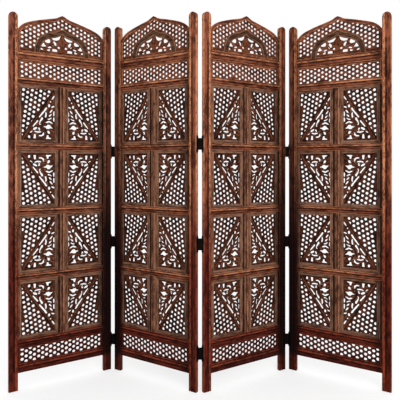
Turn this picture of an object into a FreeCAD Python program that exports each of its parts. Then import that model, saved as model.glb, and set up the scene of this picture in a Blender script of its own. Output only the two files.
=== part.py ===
"""Carved jali screen: four wooden panels that fold in a zigzag on double-action iron hinges.

Millimetres, +Z up. The origin is on the floor, in the middle of the standing screen, and the front
faces -Y. Each panel piece is made once, in the panel's own frame, and placed four times:
across = X from the panel's left edge, thickness = Y about the middle, height = Z above the floor.
"""

import FreeCAD, Part
import math
import os
import re

import Sketcher

SIZES = {
    # One panel and how it stands
    "panel_width": 508,
    "post_thickness": 20,
    "post_width": 42,
    "post_top_rise": 180,
    "fold_angle": 31,
    # Heights of what is stacked between the posts, from the floor up
    "leg_height": 83,
    "foot_rail_height": 42,
    "bottom_band_height": 80,
    "lower_rail_height": 36,
    "insert_height": 283,
    "row_rail_height": 32,
    "band_rail_height": 36,
    "top_band_height": 83,
    "crown_rail_height": 42,
    "crown_shoulder_rise": 100,
    "crown_tip_rise": 199,
    # Thicknesses and widths of the boards and rails
    "rail_thickness": 18,
    "mullion_width": 26,
    "mullion_thickness": 17,
    "insert_thickness": 16,
    "insert_rim": 16,
    "insert_field_recess": 8,
    "band_thickness": 9,
    "crown_thickness": 12,
    "moulding_width": 8,
    "moulding_depth": 3,
    # Pierced work
    "least_web": 4.5,
    "diagonal_bar": 14,
    "insert_hole_width": 31,
    "insert_hole_height": 38,
    "insert_hole_pitch": 43,
    "insert_hole_step": 50,
    "band_hole_width": 58,
    "band_hole_height": 33,
    "band_row_offset": 18,
    "band_margin": 12,
    "crown_border": 16,
    "crown_hole_width": 32,
    "crown_hole_height": 38,
    "crown_hole_pitch": 42,
    "crown_hole_step": 49,
    "arch_half_width": 97,
    "arch_frame": 23,
    "arch_foot": 18,
    "arch_rise": 85,
    # Hinges
    "closed_gap": 1,
    "barrel_radius": 3,
    "edge_gap": 0.4,
    "pin_radius": 1.6,
    "pin_running_gap": 0.05,
    "link_height": 56,
    "lug_height": 8,
    "lug_end_gap": 0.3,
    "leaf_height": 84,
    "leaf_width": 16,
    "leaf_thickness": 2,
    "low_hinge_height": 156,
    "middle_hinge_height": 675,
    "high_hinge_height": 1152,
    "middle_fold_lift": 28,
    "cut_overrun": 1,
}

PANELS = 4
FOLDS = PANELS - 1
ROWS = 4
BAND_HOLES = 5
# Pins and bores are many and small, so they have this many flat sides instead of round ones
PIN_SIDES = 10
HINGES = ("low_hinge_height", "middle_hinge_height", "high_hinge_height")
# The middle fold has its hinges a little higher than the two far folds
MIDDLE_FOLD_HINGES = tuple(f"({height} + middle_fold_lift)" for height in HINGES)

doc = FreeCAD.newDocument("JaliScreen")
sheet = doc.addObject("Spreadsheet::Sheet", "Sizes")
for row_number, (size_name, size_value) in enumerate(SIZES.items(), start=1):
    sheet.set(f"A{row_number}", size_name)
    sheet.set(f"B{row_number}", str(size_value))
    sheet.setAlias(f"B{row_number}", size_name)
doc.recompute()

# Sizes that follow from the sheet, each as an expression of it
PIN_SPACING = "(post_thickness + closed_gap)"
PIN_SETBACK = "(barrel_radius + edge_gap)"
PIECE_WIDTH = "(panel_width - 2 * post_width)"
INSERT_WIDTH = f"(({PIECE_WIDTH} - mullion_width) / 2)"
FIELD_WIDTH = f"({INSERT_WIDTH} - 2 * insert_rim)"
FIELD_HEIGHT = "(insert_height - 2 * insert_rim)"
FOOT_RAIL_BASE = "leg_height"
BOTTOM_BAND_BASE = f"({FOOT_RAIL_BASE} + foot_rail_height)"
LOWER_RAIL_BASE = f"({BOTTOM_BAND_BASE} + bottom_band_height)"
LOWEST_ROW_BASE = f"({LOWER_RAIL_BASE} + lower_rail_height)"
ROW_STEP = "(insert_height + row_rail_height)"
BAND_RAIL_BASE = f"({LOWEST_ROW_BASE} + {ROWS} * {ROW_STEP} - row_rail_height)"
TOP_BAND_BASE = f"({BAND_RAIL_BASE} + band_rail_height)"
CROWN_RAIL_BASE = f"({TOP_BAND_BASE} + top_band_height)"
CROWN_BASE = f"({CROWN_RAIL_BASE} + crown_rail_height)"
POST_HEIGHT = f"({CROWN_BASE} + post_top_rise)"
CENTRE = "(panel_width / 2)"


def row_base(row):
    """Underside of a row of inserts; row 1 is the highest."""
    return f"({LOWEST_ROW_BASE} + {ROWS - row} * {ROW_STEP})"


def bound(text):
    """The expression with each size's name pointing into the sheet."""
    return re.sub(r"[a-z_]+", lambda word: f"Sizes.{word[0]}" if word[0] in SIZES else word[0], text)


def number(text):
    """The value of an expression, as a plain number."""
    return float(sheet.evalExpression(bound(text)))


def tie(item, **expressions):
    """Binds properties of an object; a double underscore in a name stands for a dot."""
    for name, text in expressions.items():
        item.setExpression(name.replace("__", "."), bound(text))
    return item


def new_body(name):
    body = doc.addObject("PartDesign::Body", name)
    body.Label = name
    return body


def new_sketch(body, name, role, across="0", up="0", off="0"):
    """A sketch on an origin plane of the body, shifted in its plane and off it."""
    sketch = body.newObject("Sketcher::SketchObject", f"{body.Name}_{name}")
    plane = next(item for item in body.Origin.OriginFeatures if item.Role == role)
    sketch.AttachmentSupport = [(plane, "")]
    sketch.MapMode = "FlatFace"
    tie(sketch, AttachmentOffset__Base__x=across, AttachmentOffset__Base__y=up)
    tie(sketch, AttachmentOffset__Base__z=off)
    return sketch


def arc_middle(start, end, bulge):
    """The middle point of an arc that stands off its chord by the bulge, to the left of its way."""
    chord = end - start
    outward = FreeCAD.Vector(-chord.y, chord.x, 0).normalize()
    return (start + end) / 2 + outward * bulge


def fix(sketch, kind, element, point, text):
    """Holds a point's distance from the sketch's origin at an expression."""
    index = sketch.addConstraint(Sketcher.Constraint(kind, -1, 1, element, point, number(text)))
    if text != "0":
        sketch.setExpression(f"Constraints[{index}]", bound(text))


def draw_outline(sketch, corners, bulges=None):
    """A closed outline. A corner is an (across, up) pair of expressions.

    bulges holds, for the stretch that starts at a corner, how far its arc stands off the chord.
    """
    bulges = bulges or {}
    first = sketch.GeometryCount
    count = len(corners)
    places = [FreeCAD.Vector(number(across), number(up), 0) for across, up in corners]
    ends = []
    for index in range(count):
        start = places[index]
        end = places[(index + 1) % count]
        bulge = number(bulges.get(index, "0"))
        # An arc is drawn counter-clockwise, so one that stands off to the left is drawn backwards
        ends.append((2, 1) if bulge > 0 else (1, 2))
        if bulge > 0:
            sketch.addGeometry(Part.Arc(end, arc_middle(start, end, bulge), start))
        elif bulge < 0:
            sketch.addGeometry(Part.Arc(start, arc_middle(start, end, bulge), end))
        else:
            sketch.addGeometry(Part.LineSegment(start, end))
    for index in range(count):
        following = (index + 1) % count
        joint = Sketcher.Constraint(
            "Coincident", first + index, ends[index][1], first + following, ends[following][0]
        )
        sketch.addConstraint(joint)
    for index, (across, up) in enumerate(corners):
        fix(sketch, "DistanceX", first + index, ends[index][0], across)
        fix(sketch, "DistanceY", first + index, ends[index][0], up)
    for index, bulge in bulges.items():
        start = corners[index]
        end = corners[(index + 1) % count]
        chord = f"(({end[0]}) - ({start[0]}))^2 + (({end[1]}) - ({start[1]}))^2"
        radius = f"(({chord}) / 4 + ({bulge})^2) / (2 * abs({bulge}))"
        element = sketch.Geometry[first + index]
        held = sketch.addConstraint(Sketcher.Constraint("Radius", first + index, element.Radius))
        sketch.setExpression(f"Constraints[{held}]", bound(radius))
    return sketch


def draw_hole(sketch, points):
    """A closed hole through points that are worked out from the sheet."""
    for start, end in zip(points, points[1:] + points[:1]):
        sketch.addGeometry(Part.LineSegment(FreeCAD.Vector(*start, 0), FreeCAD.Vector(*end, 0)))


def rectangle(left, low, width, height):
    """Corners of an upright rectangle, as expressions."""
    right = f"({left}) + ({width})"
    top = f"({low}) + ({height})"
    return [(left, low), (right, low), (right, top), (left, top)]


def pad(body, sketch, length, symmetric=False):
    """Thickens a sketch along its plane's normal, or evenly to both sides."""
    feature = body.newObject("PartDesign::Pad", f"{sketch.Name}_pad")
    feature.Profile = sketch
    feature.SideType = "Symmetric" if symmetric else "One side"
    tie(feature, Length=length)
    doc.recompute()
    return feature


def pocket(body, sketch, length, symmetric=False):
    """Cuts a sketch into the body along its plane's normal, or evenly to both sides."""
    before = body.Shape.Volume
    feature = body.newObject("PartDesign::Pocket", f"{sketch.Name}_pocket")
    feature.Profile = sketch
    feature.SideType = "Symmetric" if symmetric else "One side"
    feature.Reversed = not symmetric
    tie(feature, Length=length)
    doc.recompute()
    if not body.Shape.Volume < before:
        raise ValueError(f"{feature.Name} cuts nothing")
    return feature


def mirrored(source, name, across=None, up=None):
    """A mirror image of a piece, about an upright or a level plane."""
    mirror = doc.addObject("Part::Mirroring", name)
    mirror.Source = source
    mirror.Normal = (1, 0, 0) if across else (0, 0, 1)
    tie(mirror, **({"Base__x": across} if across else {"Base__z": up}))
    return mirror


def raised(source, name, height):
    """The same piece at another height in the panel."""
    link = doc.addObject("App::Link", name)
    link.LinkedObject = source
    link.LinkTransform = True
    return tie(link, Placement__Base__z=height)


# Posts: an arched top, a moulding line down the front, and mortises where hinge leaves go


def plain_post():
    body = new_body("plain_post")
    outline = new_sketch(body, "outline", "XZ_Plane")
    spring = f"({POST_HEIGHT} - post_width / 2)"
    corners = [("0", "0"), ("post_width", "0"), ("post_width", spring)]
    corners += [("post_width / 2", POST_HEIGHT), ("0", spring)]
    # The top is a half circle of two quarter arcs; each stands off its chord by this much
    quarter_bulge = "-post_width / 2 * (1 - cos(45))"
    draw_outline(outline, corners, {2: quarter_bulge, 3: quarter_bulge})
    pad(body, outline, "post_thickness", symmetric=True)
    groove = new_sketch(
        body,
        "moulding",
        "XY_Plane",
        across="(post_width - moulding_width) / 2",
        up="-post_thickness / 2 - cut_overrun",
        off=FOOT_RAIL_BASE,
    )
    mouth = "cut_overrun"
    deep = "cut_overrun + moulding_depth"
    section = [("0", "0"), ("moulding_width", "0"), ("moulding_width", mouth)]
    section += [("moulding_width / 2", deep), ("0", mouth)]
    draw_outline(groove, section)
    pocket(body, groove, f"{CROWN_BASE} + crown_shoulder_rise - {FOOT_RAIL_BASE}")
    return body


def mortised_post(post, name, heights):
    """The post with a mortise for each hinge leaf in its outer edge."""
    boxes = []
    for index, height in enumerate(heights, start=1):
        box = doc.addObject("Part::Box", f"{name}_mortise_{index}")
        tie(box, Length="leaf_thickness + cut_overrun", Width="leaf_width", Height="leaf_height")
        tie(box, Placement__Base__x="-cut_overrun", Placement__Base__y="-leaf_width / 2")
        tie(box, Placement__Base__z=f"{height} - leaf_height / 2")
        boxes.append(box)
    mortises = doc.addObject("Part::Compound", f"{name}_mortises")
    mortises.Links = boxes
    cut = doc.addObject("Part::Cut", name)
    cut.Base = post
    cut.Tool = mortises
    return cut


# Rails and mullions: straight sticks with a moulding line along the front


def stick_profile(width, thickness):
    """Section of a stick with the moulding line in its front face, corners counter-clockwise."""
    front = [("0", width), ("0", f"({width} + moulding_width) / 2")]
    front += [("moulding_depth", f"({width}) / 2"), ("0", f"({width} - moulding_width) / 2")]
    return [("0", "0"), (thickness, "0"), (thickness, width)] + front


def rail(name, height):
    """A rail between the posts, with its underside at zero."""
    body = new_body(name)
    section = new_sketch(body, "section", "YZ_Plane", across="-rail_thickness / 2", off="post_width")
    draw_outline(section, stick_profile(height, "rail_thickness"))
    pad(body, section, PIECE_WIDTH)
    return body


def mullion():
    """The upright between the two inserts of a row."""
    body = new_body("mullion")
    outline = new_sketch(body, "outline", "XZ_Plane")
    left = f"({CENTRE} - mullion_width / 2)"
    draw_outline(outline, rectangle(left, "0", "mullion_width", "insert_height"))
    pad(body, outline, "mullion_thickness", symmetric=True)
    return body


# Pierced boards. The holes are staggered lozenges, as the bars between them cross


def lozenge(across, up, width, height):
    """Corners of a lozenge about a centre."""
    sides = [(0, -height / 2), (width / 2, 0), (0, height / 2), (-width / 2, 0)]
    return [(across + dx, up + dy) for dx, dy in sides]


def band(name, height):
    """A board with two staggered rows of holes."""
    body = new_body(name)
    outline = new_sketch(body, "outline", "XZ_Plane")
    draw_outline(outline, rectangle("post_width", "0", PIECE_WIDTH, height))
    pad(body, outline, "band_thickness", symmetric=True)
    half_step = f"(({PIECE_WIDTH} - 2 * band_margin - band_hole_width) / (2 * {BAND_HOLES - 1}))"
    start = "post_width + band_margin"
    rows = [("lower", start, f"{height} / 2 - band_row_offset", BAND_HOLES)]
    upper_start = f"{start} + {half_step}"
    rows.append(("upper", upper_start, f"{height} / 2 + band_row_offset", BAND_HOLES - 1))
    for label, left, middle, count in rows:
        hole = new_sketch(body, label, "XZ_Plane")
        low = f"({middle} - band_hole_height / 2)"
        top = f"({middle} + band_hole_height / 2)"
        centre = f"({left} + band_hole_width / 2)"
        corners = [(centre, low), (f"({left} + band_hole_width)", f"({middle})"), (centre, top)]
        draw_outline(hole, corners + [(f"({left})", f"({middle})")])
        cut = pocket(body, hole, "2 * band_thickness", symmetric=True)
        row = body.newObject("PartDesign::LinearPattern", f"{name}_{label}_row")
        row.Originals = [cut]
        row.Direction = (hole, ["H_Axis"])
        row.Occurrences = count
        tie(row, Length=f"2 * {half_step} * {count - 1}")
        body.Tip = row
        doc.recompute()
    return body


FLORAL_OPENING_SHARES = [
    # Openings of the vine half, each a leaf by its corners: across and up the insert's field
    [(0.58, 0.27), (0.76, 0.20), (0.95, 0.25), (0.78, 0.34)],
    [(0.68, 0.42), (0.80, 0.40), (0.94, 0.70), (0.84, 0.62)],
    [(0.32, 0.04), (0.74, 0.04), (0.60, 0.15), (0.40, 0.14)],
]
LATTICE_LEAN_SHARE = 0.12


def insert():
    """The left insert of rows 1 and 3: a rim round a field with a diagonal bar from its lower
    outer corner to its upper inner one, lattice above the bar and the vine below it."""
    body = new_body("insert")
    rim = new_sketch(body, "rim", "XZ_Plane")
    draw_outline(rim, rectangle("post_width", "0", INSERT_WIDTH, "insert_height"))
    field_corners = rectangle("post_width + insert_rim", "insert_rim", FIELD_WIDTH, FIELD_HEIGHT)
    draw_outline(rim, field_corners)
    pad(body, rim, "insert_thickness", symmetric=True)
    # The field is flush with the back of the rim, so its sketch lies there
    field = new_sketch(body, "field", "XZ_Plane", off="-insert_thickness / 2")
    draw_outline(field, field_corners)
    for hole in lattice_holes() + floral_openings():
        draw_hole(field, hole)
    pad(body, field, "insert_thickness - insert_field_recess")
    return body


def lattice_holes():
    """Lozenges in leaning, staggered columns, kept where a whole one clears the rim and the bar."""
    left = number("post_width + insert_rim")
    low = number("insert_rim")
    wide = number(FIELD_WIDTH)
    tall = number(FIELD_HEIGHT)
    web = number("least_web")
    hole_width = number("insert_hole_width")
    hole_height = number("insert_hole_height")
    pitch = number("insert_hole_pitch")
    step = number("insert_hole_step")
    bar_length = math.hypot(wide, tall)
    clear = number("diagonal_bar / 2") + web
    holes = []
    for column in range(math.ceil(wide / pitch)):
        for place in range(math.ceil(tall / step) + 1):
            up = tall - web - hole_height / 2 - step * (place + (column % 2) / 2)
            across = web + hole_width / 2 + pitch * column - (tall - up) * LATTICE_LEAN_SHARE
            across += LATTICE_LEAN_SHARE * tall / 2
            corners = lozenge(across, up, hole_width, hole_height)
            in_rim = all(web <= x <= wide - web and web <= z <= tall - web for x, z in corners)
            over_bar = all((z * wide - x * tall) / bar_length >= clear for x, z in corners)
            if in_rim and over_bar:
                holes.append([(left + x, low + z) for x, z in corners])
    return holes


def floral_openings():
    left = number("post_width + insert_rim")
    low = number("insert_rim")
    wide = number(FIELD_WIDTH)
    tall = number(FIELD_HEIGHT)
    return [[(left + x * wide, low + z * tall) for x, z in leaf] for leaf in FLORAL_OPENING_SHARES]


# Crown: an ogee board with lattice on both sides of an arch that holds a palmette

CROWN_EDGE_SHARES = [(0.23, 0.455), (0.70, 0.76)]
CROWN_BULGE_SHARES = (0.026, 0.008, -0.014)
PALMETTE_OPENING_SHARES = [
    # Right half: beside the bud, between the leaves, and under the outer leaf
    [(0.07, 0.80), (0.10, 0.42), (0.24, 0.30), (0.22, 0.62)],
    [(0.36, 0.62), (0.32, 0.30), (0.46, 0.16), (0.60, 0.46)],
    [(0.58, 0.08), (0.88, 0.08), (0.80, 0.34), (0.70, 0.36)],
]


def crown_point(across_share, up_share):
    """A point of the crown's edge, by shares of its half width and of its rise, left half."""
    across = f"(post_width + {across_share} * {PIECE_WIDTH} / 2)"
    up = f"(crown_shoulder_rise + {up_share} * (crown_tip_rise - crown_shoulder_rise))"
    return across, up


def crown():
    body = new_body("crown")
    outline = new_sketch(body, "outline", "XZ_Plane")
    left_edge = [crown_point(0, 0)] + [crown_point(*share) for share in CROWN_EDGE_SHARES]
    right_edge = [(f"(panel_width - {across})", up) for across, up in reversed(left_edge)]
    foot = [("(panel_width - post_width)", "0"), ("post_width", "0")]
    # The outline runs clockwise, so a full bulge stands to the left of its way
    corners = left_edge + [crown_point(1, 1)] + right_edge + foot
    shares = CROWN_BULGE_SHARES + tuple(reversed(CROWN_BULGE_SHARES))
    bulges = {index: f"({share} * {PIECE_WIDTH} / 2)" for index, share in enumerate(shares)}
    draw_outline(outline, corners, bulges)
    pad(body, outline, "crown_thickness", symmetric=True)
    piercing = new_sketch(body, "piercing", "XZ_Plane")
    for hole in crown_holes() + palmette_openings():
        draw_hole(piercing, hole)
    pocket(body, piercing, "2 * crown_thickness", symmetric=True)
    return body


def crown_edge_height(across):
    """Height of the crown's straight-drawn edge at a distance from its middle, as a number."""
    half = number(f"{PIECE_WIDTH} / 2")
    shoulder = number("crown_shoulder_rise")
    rise = number("crown_tip_rise - crown_shoulder_rise")
    share = 1 - abs(across) / half
    knots = [(0, 0)] + CROWN_EDGE_SHARES + [(1, 1)]
    for (low_x, low_z), (high_x, high_z) in zip(knots, knots[1:]):
        if share <= high_x:
            return shoulder + rise * (low_z + (high_z - low_z) * (share - low_x) / (high_x - low_x))
    return shoulder + rise


def crown_holes():
    """Lozenges in staggered columns on both sides of the arch."""
    centre = number(CENTRE)
    half = number(f"{PIECE_WIDTH} / 2")
    border = number("crown_border")
    width = number("crown_hole_width")
    height = number("crown_hole_height")
    step = number("crown_hole_step")
    pitch = number("crown_hole_pitch")
    arch_half = number("arch_half_width + arch_frame")
    arch_top = number("arch_foot + arch_rise + arch_frame")
    holes = []
    for column in range(math.ceil(half / pitch)):
        across = half - border - width / 2 - column * pitch
        for place in range(math.ceil(number("crown_tip_rise") / step)):
            up = border + height / 2 + step * (place + (column % 2) / 2)
            corners = lozenge(across, up, width, height)
            in_edge = all(border <= z <= crown_edge_height(x) - border for x, z in corners)
            off_arch = all(x > arch_half * (1 - (z / arch_top) ** 2) for x, z in corners)
            if in_edge and off_arch and across > width:
                holes.append([(centre + x, z) for x, z in corners])
                holes.append([(centre - x, z) for x, z in corners])
    return holes


def palmette_openings():
    centre = number(CENTRE)
    half = number("arch_half_width")
    foot = number("arch_foot")
    rise = number("arch_rise")
    openings = []
    for leaf in PALMETTE_OPENING_SHARES:
        for side in (-1, 1):
            openings.append([(centre + side * x * half, foot + z * rise) for x, z in leaf])
    return openings


# Hinges: a leaf in the post's edge with two lugs, a pin between them, and a link on two pins


def right_leaf():
    """A leaf in the panel's right edge, about the height zero."""
    plate = doc.addObject("Part::Box", "leaf_plate")
    tie(plate, Length="leaf_thickness", Width="leaf_width", Height="leaf_height")
    tie(plate, Placement__Base__x="panel_width - leaf_thickness")
    tie(plate, Placement__Base__y="-leaf_width / 2", Placement__Base__z="-leaf_height / 2")
    pieces = [plate]
    inner = "(link_height / 2 + lug_end_gap)"
    for label, base in (("upper", inner), ("lower", f"-{inner} - lug_height")):
        lug = doc.addObject("Part::Box", f"{label}_lug")
        tie(lug, Length=f"leaf_thickness + {PIN_SETBACK} + barrel_radius")
        tie(lug, Width="2 * barrel_radius", Height="lug_height")
        tie(lug, Placement__Base__x="panel_width - leaf_thickness")
        tie(lug, Placement__Base__y="-barrel_radius", Placement__Base__z=base)
        pieces.append(lug)
    leaf = doc.addObject("Part::MultiFuse", "right_leaf")
    leaf.Shapes = pieces
    leaf.Refine = True
    return leaf


def hinge_prism(name, radius, height, across, up):
    """An upright round bar or drill of the hinge."""
    prism = doc.addObject("Part::Prism", name)
    prism.Polygon = PIN_SIDES
    tie(prism, Circumradius=radius, Height=height, Placement__Base__x=across, Placement__Base__z=up)
    return prism


def right_pin():
    """The pin of a right leaf, from lug to lug."""
    length = "(link_height + 2 * lug_end_gap)"
    across = f"panel_width + {PIN_SETBACK}"
    return hinge_prism("right_pin", "pin_radius", length, across, f"-{length} / 2")


def link():
    """The link of one hinge, about the middle of its fold, with a bore at each end."""
    web = doc.addObject("Part::Box", "link_web")
    tie(web, Length=PIN_SPACING, Width="2 * barrel_radius", Height="link_height")
    tie(web, Placement__Base__x=f"-{PIN_SPACING} / 2", Placement__Base__y="-barrel_radius")
    tie(web, Placement__Base__z="-link_height / 2")
    flat_radius = "(pin_radius + pin_running_gap)"
    drill_length = "(link_height + 2 * cut_overrun)"
    barrels = []
    drills = []
    for side, sign in (("left", "-"), ("right", "")):
        across = f"{sign}{PIN_SPACING} / 2"
        barrel = f"link_{side}_barrel"
        barrels.append(hinge_prism(barrel, "barrel_radius", "link_height", across, "-link_height / 2"))
        drill = f"link_{side}_drill"
        corner_radius = f"{flat_radius} / cos(180 / {PIN_SIDES})"
        drills.append(hinge_prism(drill, corner_radius, drill_length, across, f"-{drill_length} / 2"))
    blank = doc.addObject("Part::MultiFuse", "link_blank")
    blank.Shapes = [web] + barrels
    blank.Refine = True
    bores = doc.addObject("Part::Compound", "link_bores")
    bores.Links = drills
    cut = doc.addObject("Part::Cut", "link")
    cut.Base = blank
    cut.Tool = bores
    return cut


# The pieces, each made once

left_plain_post = plain_post()
left_far_post = mortised_post(left_plain_post, "left_far_post", HINGES)
left_middle_post = mortised_post(left_plain_post, "left_middle_post", MIDDLE_FOLD_HINGES)
right_plain_post = mirrored(left_plain_post, "right_plain_post", across=CENTRE)
right_far_post = mirrored(left_far_post, "right_far_post", across=CENTRE)
right_middle_post = mirrored(left_middle_post, "right_middle_post", across=CENTRE)
crown_board = crown()
crown_rail = rail("crown_rail", "crown_rail_height")
band_rail = rail("band_rail", "band_rail_height")
lower_rail = rail("lower_rail", "lower_rail_height")
foot_rail = rail("foot_rail", "foot_rail_height")
row_rail = rail("row_rail", "row_rail_height")
middle_mullion = mullion()
top_band = band("top_band", "top_band_height")
bottom_band = band("bottom_band", "bottom_band_height")
left_insert = insert()
right_insert = mirrored(left_insert, "right_insert", across=CENTRE)
left_turned_insert = mirrored(left_insert, "left_turned_insert", up="insert_height / 2")
right_turned_insert = mirrored(left_turned_insert, "right_turned_insert", across=CENTRE)
right_hinge_leaf = right_leaf()
left_hinge_leaf = mirrored(right_hinge_leaf, "left_leaf", across=CENTRE)
right_hinge_pin = right_pin()
left_hinge_pin = mirrored(right_hinge_pin, "left_pin", across=CENTRE)
hinge_link = link()

frame_rails = [
    raised(foot_rail, "foot_rail_in_place", FOOT_RAIL_BASE),
    raised(lower_rail, "lower_rail_in_place", LOWER_RAIL_BASE),
    raised(band_rail, "band_rail_in_place", BAND_RAIL_BASE),
    raised(crown_rail, "crown_rail_in_place", CROWN_RAIL_BASE),
]
row_rails = [
    raised(row_rail, f"row_rail_{row}", f"{row_base(row)} - row_rail_height")
    for row in range(1, ROWS)
]
mullions = [raised(middle_mullion, f"mullion_{row}", row_base(row)) for row in range(1, ROWS + 1)]


def at_hinges(piece, name, heights):
    """The piece at each hinge's height."""
    return [raised(piece, f"{name}_{index}", height) for index, height in enumerate(heights, start=1)]


FOLD_HINGES = (HINGES, MIDDLE_FOLD_HINGES, HINGES)

# Where the panels and folds stand. The outer edges and the middle fold are near the front
TURN = "cos(fold_angle)"
DEPTH = "(panel_width / 2 * sin(fold_angle))"
INNER_EDGE = f"({PIN_SPACING} / 2 + {PIN_SETBACK} * {TURN})"
FAR_EDGE = f"({PIN_SPACING} / 2 + (panel_width + {PIN_SETBACK}) * {TURN})"
OUTER_INNER_EDGE = f"(3 * {PIN_SPACING} / 2 + (panel_width + 3 * {PIN_SETBACK}) * {TURN})"
OUTER_EDGE = f"(3 * {PIN_SPACING} / 2 + (2 * panel_width + 3 * {PIN_SETBACK}) * {TURN})"
PANEL_PLACES = [
    # Left edge across, left edge back, turn about the upright
    (f"-{OUTER_EDGE}", f"-{DEPTH}", "fold_angle"),
    (f"-{FAR_EDGE}", DEPTH, "-fold_angle"),
    (INNER_EDGE, f"-{DEPTH}", "fold_angle"),
    (OUTER_INNER_EDGE, DEPTH, "-fold_angle"),
]
FOLD_ACROSS = f"({PIN_SPACING} + (panel_width + 2 * {PIN_SETBACK}) * {TURN})"
FOLD_BACK = f"((panel_width / 2 + {PIN_SETBACK}) * sin(fold_angle))"
FOLD_PLACES = [
    (f"-{FOLD_ACROSS}", FOLD_BACK),
    ("0", f"-{FOLD_BACK}"),
    (FOLD_ACROSS, FOLD_BACK),
]

nodes = []


def node(name, pieces, across, back, turn="0", up="0"):
    """One named part of the screen: its pieces, placed together."""
    group = doc.addObject("Part::Compound", name)
    group.Label = name
    group.Links = pieces
    tie(group, Placement__Base__x=across, Placement__Base__y=back, Placement__Base__z=up)
    tie(group, Placement__Rotation__Angle=turn)
    nodes.append(group)


def panel(index):
    """All the nodes of one panel."""
    across, back, turn = PANEL_PLACES[index - 1]
    name = f"panel_{index}"
    left_post = {1: left_plain_post, 3: left_middle_post}.get(index, left_far_post)
    right_post = {PANELS: right_plain_post, 2: right_middle_post}.get(index, right_far_post)
    node(f"{name}_left_post", [left_post], across, back, turn)
    node(f"{name}_right_post", [right_post], across, back, turn)
    node(f"{name}_crown", [crown_board], across, back, turn, up=CROWN_BASE)
    node(f"{name}_top_band", [top_band], across, back, turn, up=TOP_BAND_BASE)
    node(f"{name}_bottom_band", [bottom_band], across, back, turn, up=BOTTOM_BAND_BASE)
    for row in range(1, ROWS + 1):
        pair = [left_insert, right_insert] if row % 2 else [left_turned_insert, right_turned_insert]
        node(f"{name}_insert_row_{row}", pair, across, back, turn, up=row_base(row))
    node(f"{name}_frame_rails", frame_rails, across, back, turn)
    node(f"{name}_row_rails", row_rails, across, back, turn)
    node(f"{name}_mullions", mullions, across, back, turn)
    leaves = []
    pins = []
    if index > 1:
        heights = FOLD_HINGES[index - 2]
        leaves += at_hinges(left_hinge_leaf, f"{name}_left_leaf", heights)
        pins += at_hinges(left_hinge_pin, f"{name}_left_pin", heights)
    if index < PANELS:
        heights = FOLD_HINGES[index - 1]
        leaves += at_hinges(right_hinge_leaf, f"{name}_right_leaf", heights)
        pins += at_hinges(right_hinge_pin, f"{name}_right_pin", heights)
    node(f"{name}_hinge_leaves", leaves, across, back, turn)
    node(f"{name}_hinge_pins", pins, across, back, turn)


for panel_number in range(1, PANELS + 1):
    panel(panel_number)
for fold_number in range(1, FOLDS + 1):
    fold_across, fold_back = FOLD_PLACES[fold_number - 1]
    links = at_hinges(hinge_link, f"fold_{fold_number}_link", FOLD_HINGES[fold_number - 1])
    node(f"fold_{fold_number}_links", links, fold_across, fold_back)

doc.recompute()

for item in doc.Objects:
    if "Invalid" in item.State or "Error" in item.State:
        raise ValueError(f"{item.Name} failed: {item.State}")
for item in nodes:
    if item.Shape.isNull() or not item.Shape.isValid():
        raise ValueError(f"{item.Label} has no valid shape")

os.makedirs("parts", exist_ok=True)
for item in nodes:
    item.Shape.exportStep(f"parts/{item.Label}.step")
print(len(nodes), "nodes,", sum(len(item.Shape.Solids) for item in nodes), "solids")
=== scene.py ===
import math

import bmesh
import bpy
from mathutils import Matrix, Vector


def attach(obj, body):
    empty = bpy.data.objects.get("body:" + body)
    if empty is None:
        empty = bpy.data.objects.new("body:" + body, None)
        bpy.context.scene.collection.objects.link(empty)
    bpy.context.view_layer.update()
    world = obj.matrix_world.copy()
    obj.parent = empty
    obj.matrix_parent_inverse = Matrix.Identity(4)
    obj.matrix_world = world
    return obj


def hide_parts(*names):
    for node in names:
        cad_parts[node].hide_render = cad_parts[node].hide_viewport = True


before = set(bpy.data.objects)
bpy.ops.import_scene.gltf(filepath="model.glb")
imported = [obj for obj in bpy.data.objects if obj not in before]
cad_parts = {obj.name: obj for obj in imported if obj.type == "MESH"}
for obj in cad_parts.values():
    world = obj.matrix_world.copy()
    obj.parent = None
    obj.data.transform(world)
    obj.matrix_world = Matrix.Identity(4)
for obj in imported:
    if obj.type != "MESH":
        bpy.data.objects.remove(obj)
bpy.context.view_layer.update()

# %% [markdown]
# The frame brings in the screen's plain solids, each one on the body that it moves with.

scene = bpy.context.scene

# %% [markdown]
# The real screen is four equal panels of planed timber. Each panel could be modelled where it stands,
# but a folded panel has no edge along the axes. So one panel is made flat, in its own frame, and copied
# four times: u runs across from its left edge, v goes through it with the front at the low side, and w
# goes up from the floor. Lengths are written in millimetres, as on a drawing, and turned into metres by MM.

# %% Driving sizes
MM = 0.001
PANEL_WIDTH = 508 * MM
POST_WIDTH = 42 * MM
POST_THICKNESS = 20 * MM
POST_HEIGHT = 1810 * MM
RAIL_THICKNESS = 18 * MM
MULLION_WIDTH = 26 * MM
MULLION_THICKNESS = 17 * MM
LEG_HEIGHT = 83 * MM
INSERT_HEIGHT = 283 * MM
INSERT_RIM = 16 * MM
INSERT_THICKNESS = 16 * MM
BOARD_THICKNESS = 7 * MM
ROW_STEP = 315 * MM
ROW_1_BASE = 1186 * MM
INSIDE = PANEL_WIDTH - 2 * POST_WIDTH
MIDDLE = PANEL_WIDTH / 2
FOOT_RAIL = (83 * MM, 42 * MM)
LOWER_RAIL = (205 * MM, 36 * MM)
BAND_RAIL = (1469 * MM, 36 * MM)
CROWN_RAIL = (1588 * MM, 42 * MM)
ROW_RAIL_HEIGHT = 32 * MM
print("inside width", round(INSIDE, 4))

# %% [markdown]
# The screen stands in a zigzag. At each fold two pins stand apart by a post's thickness and a little
# more, each a little way off its panel's edge, so that two panels can lie against each other. A place
# could be read off each solid. It is worked out from the fold's angle instead, because this shows how
# the zigzag hangs together: a left edge, the depth of the middle plane there, and a turn.

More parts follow.
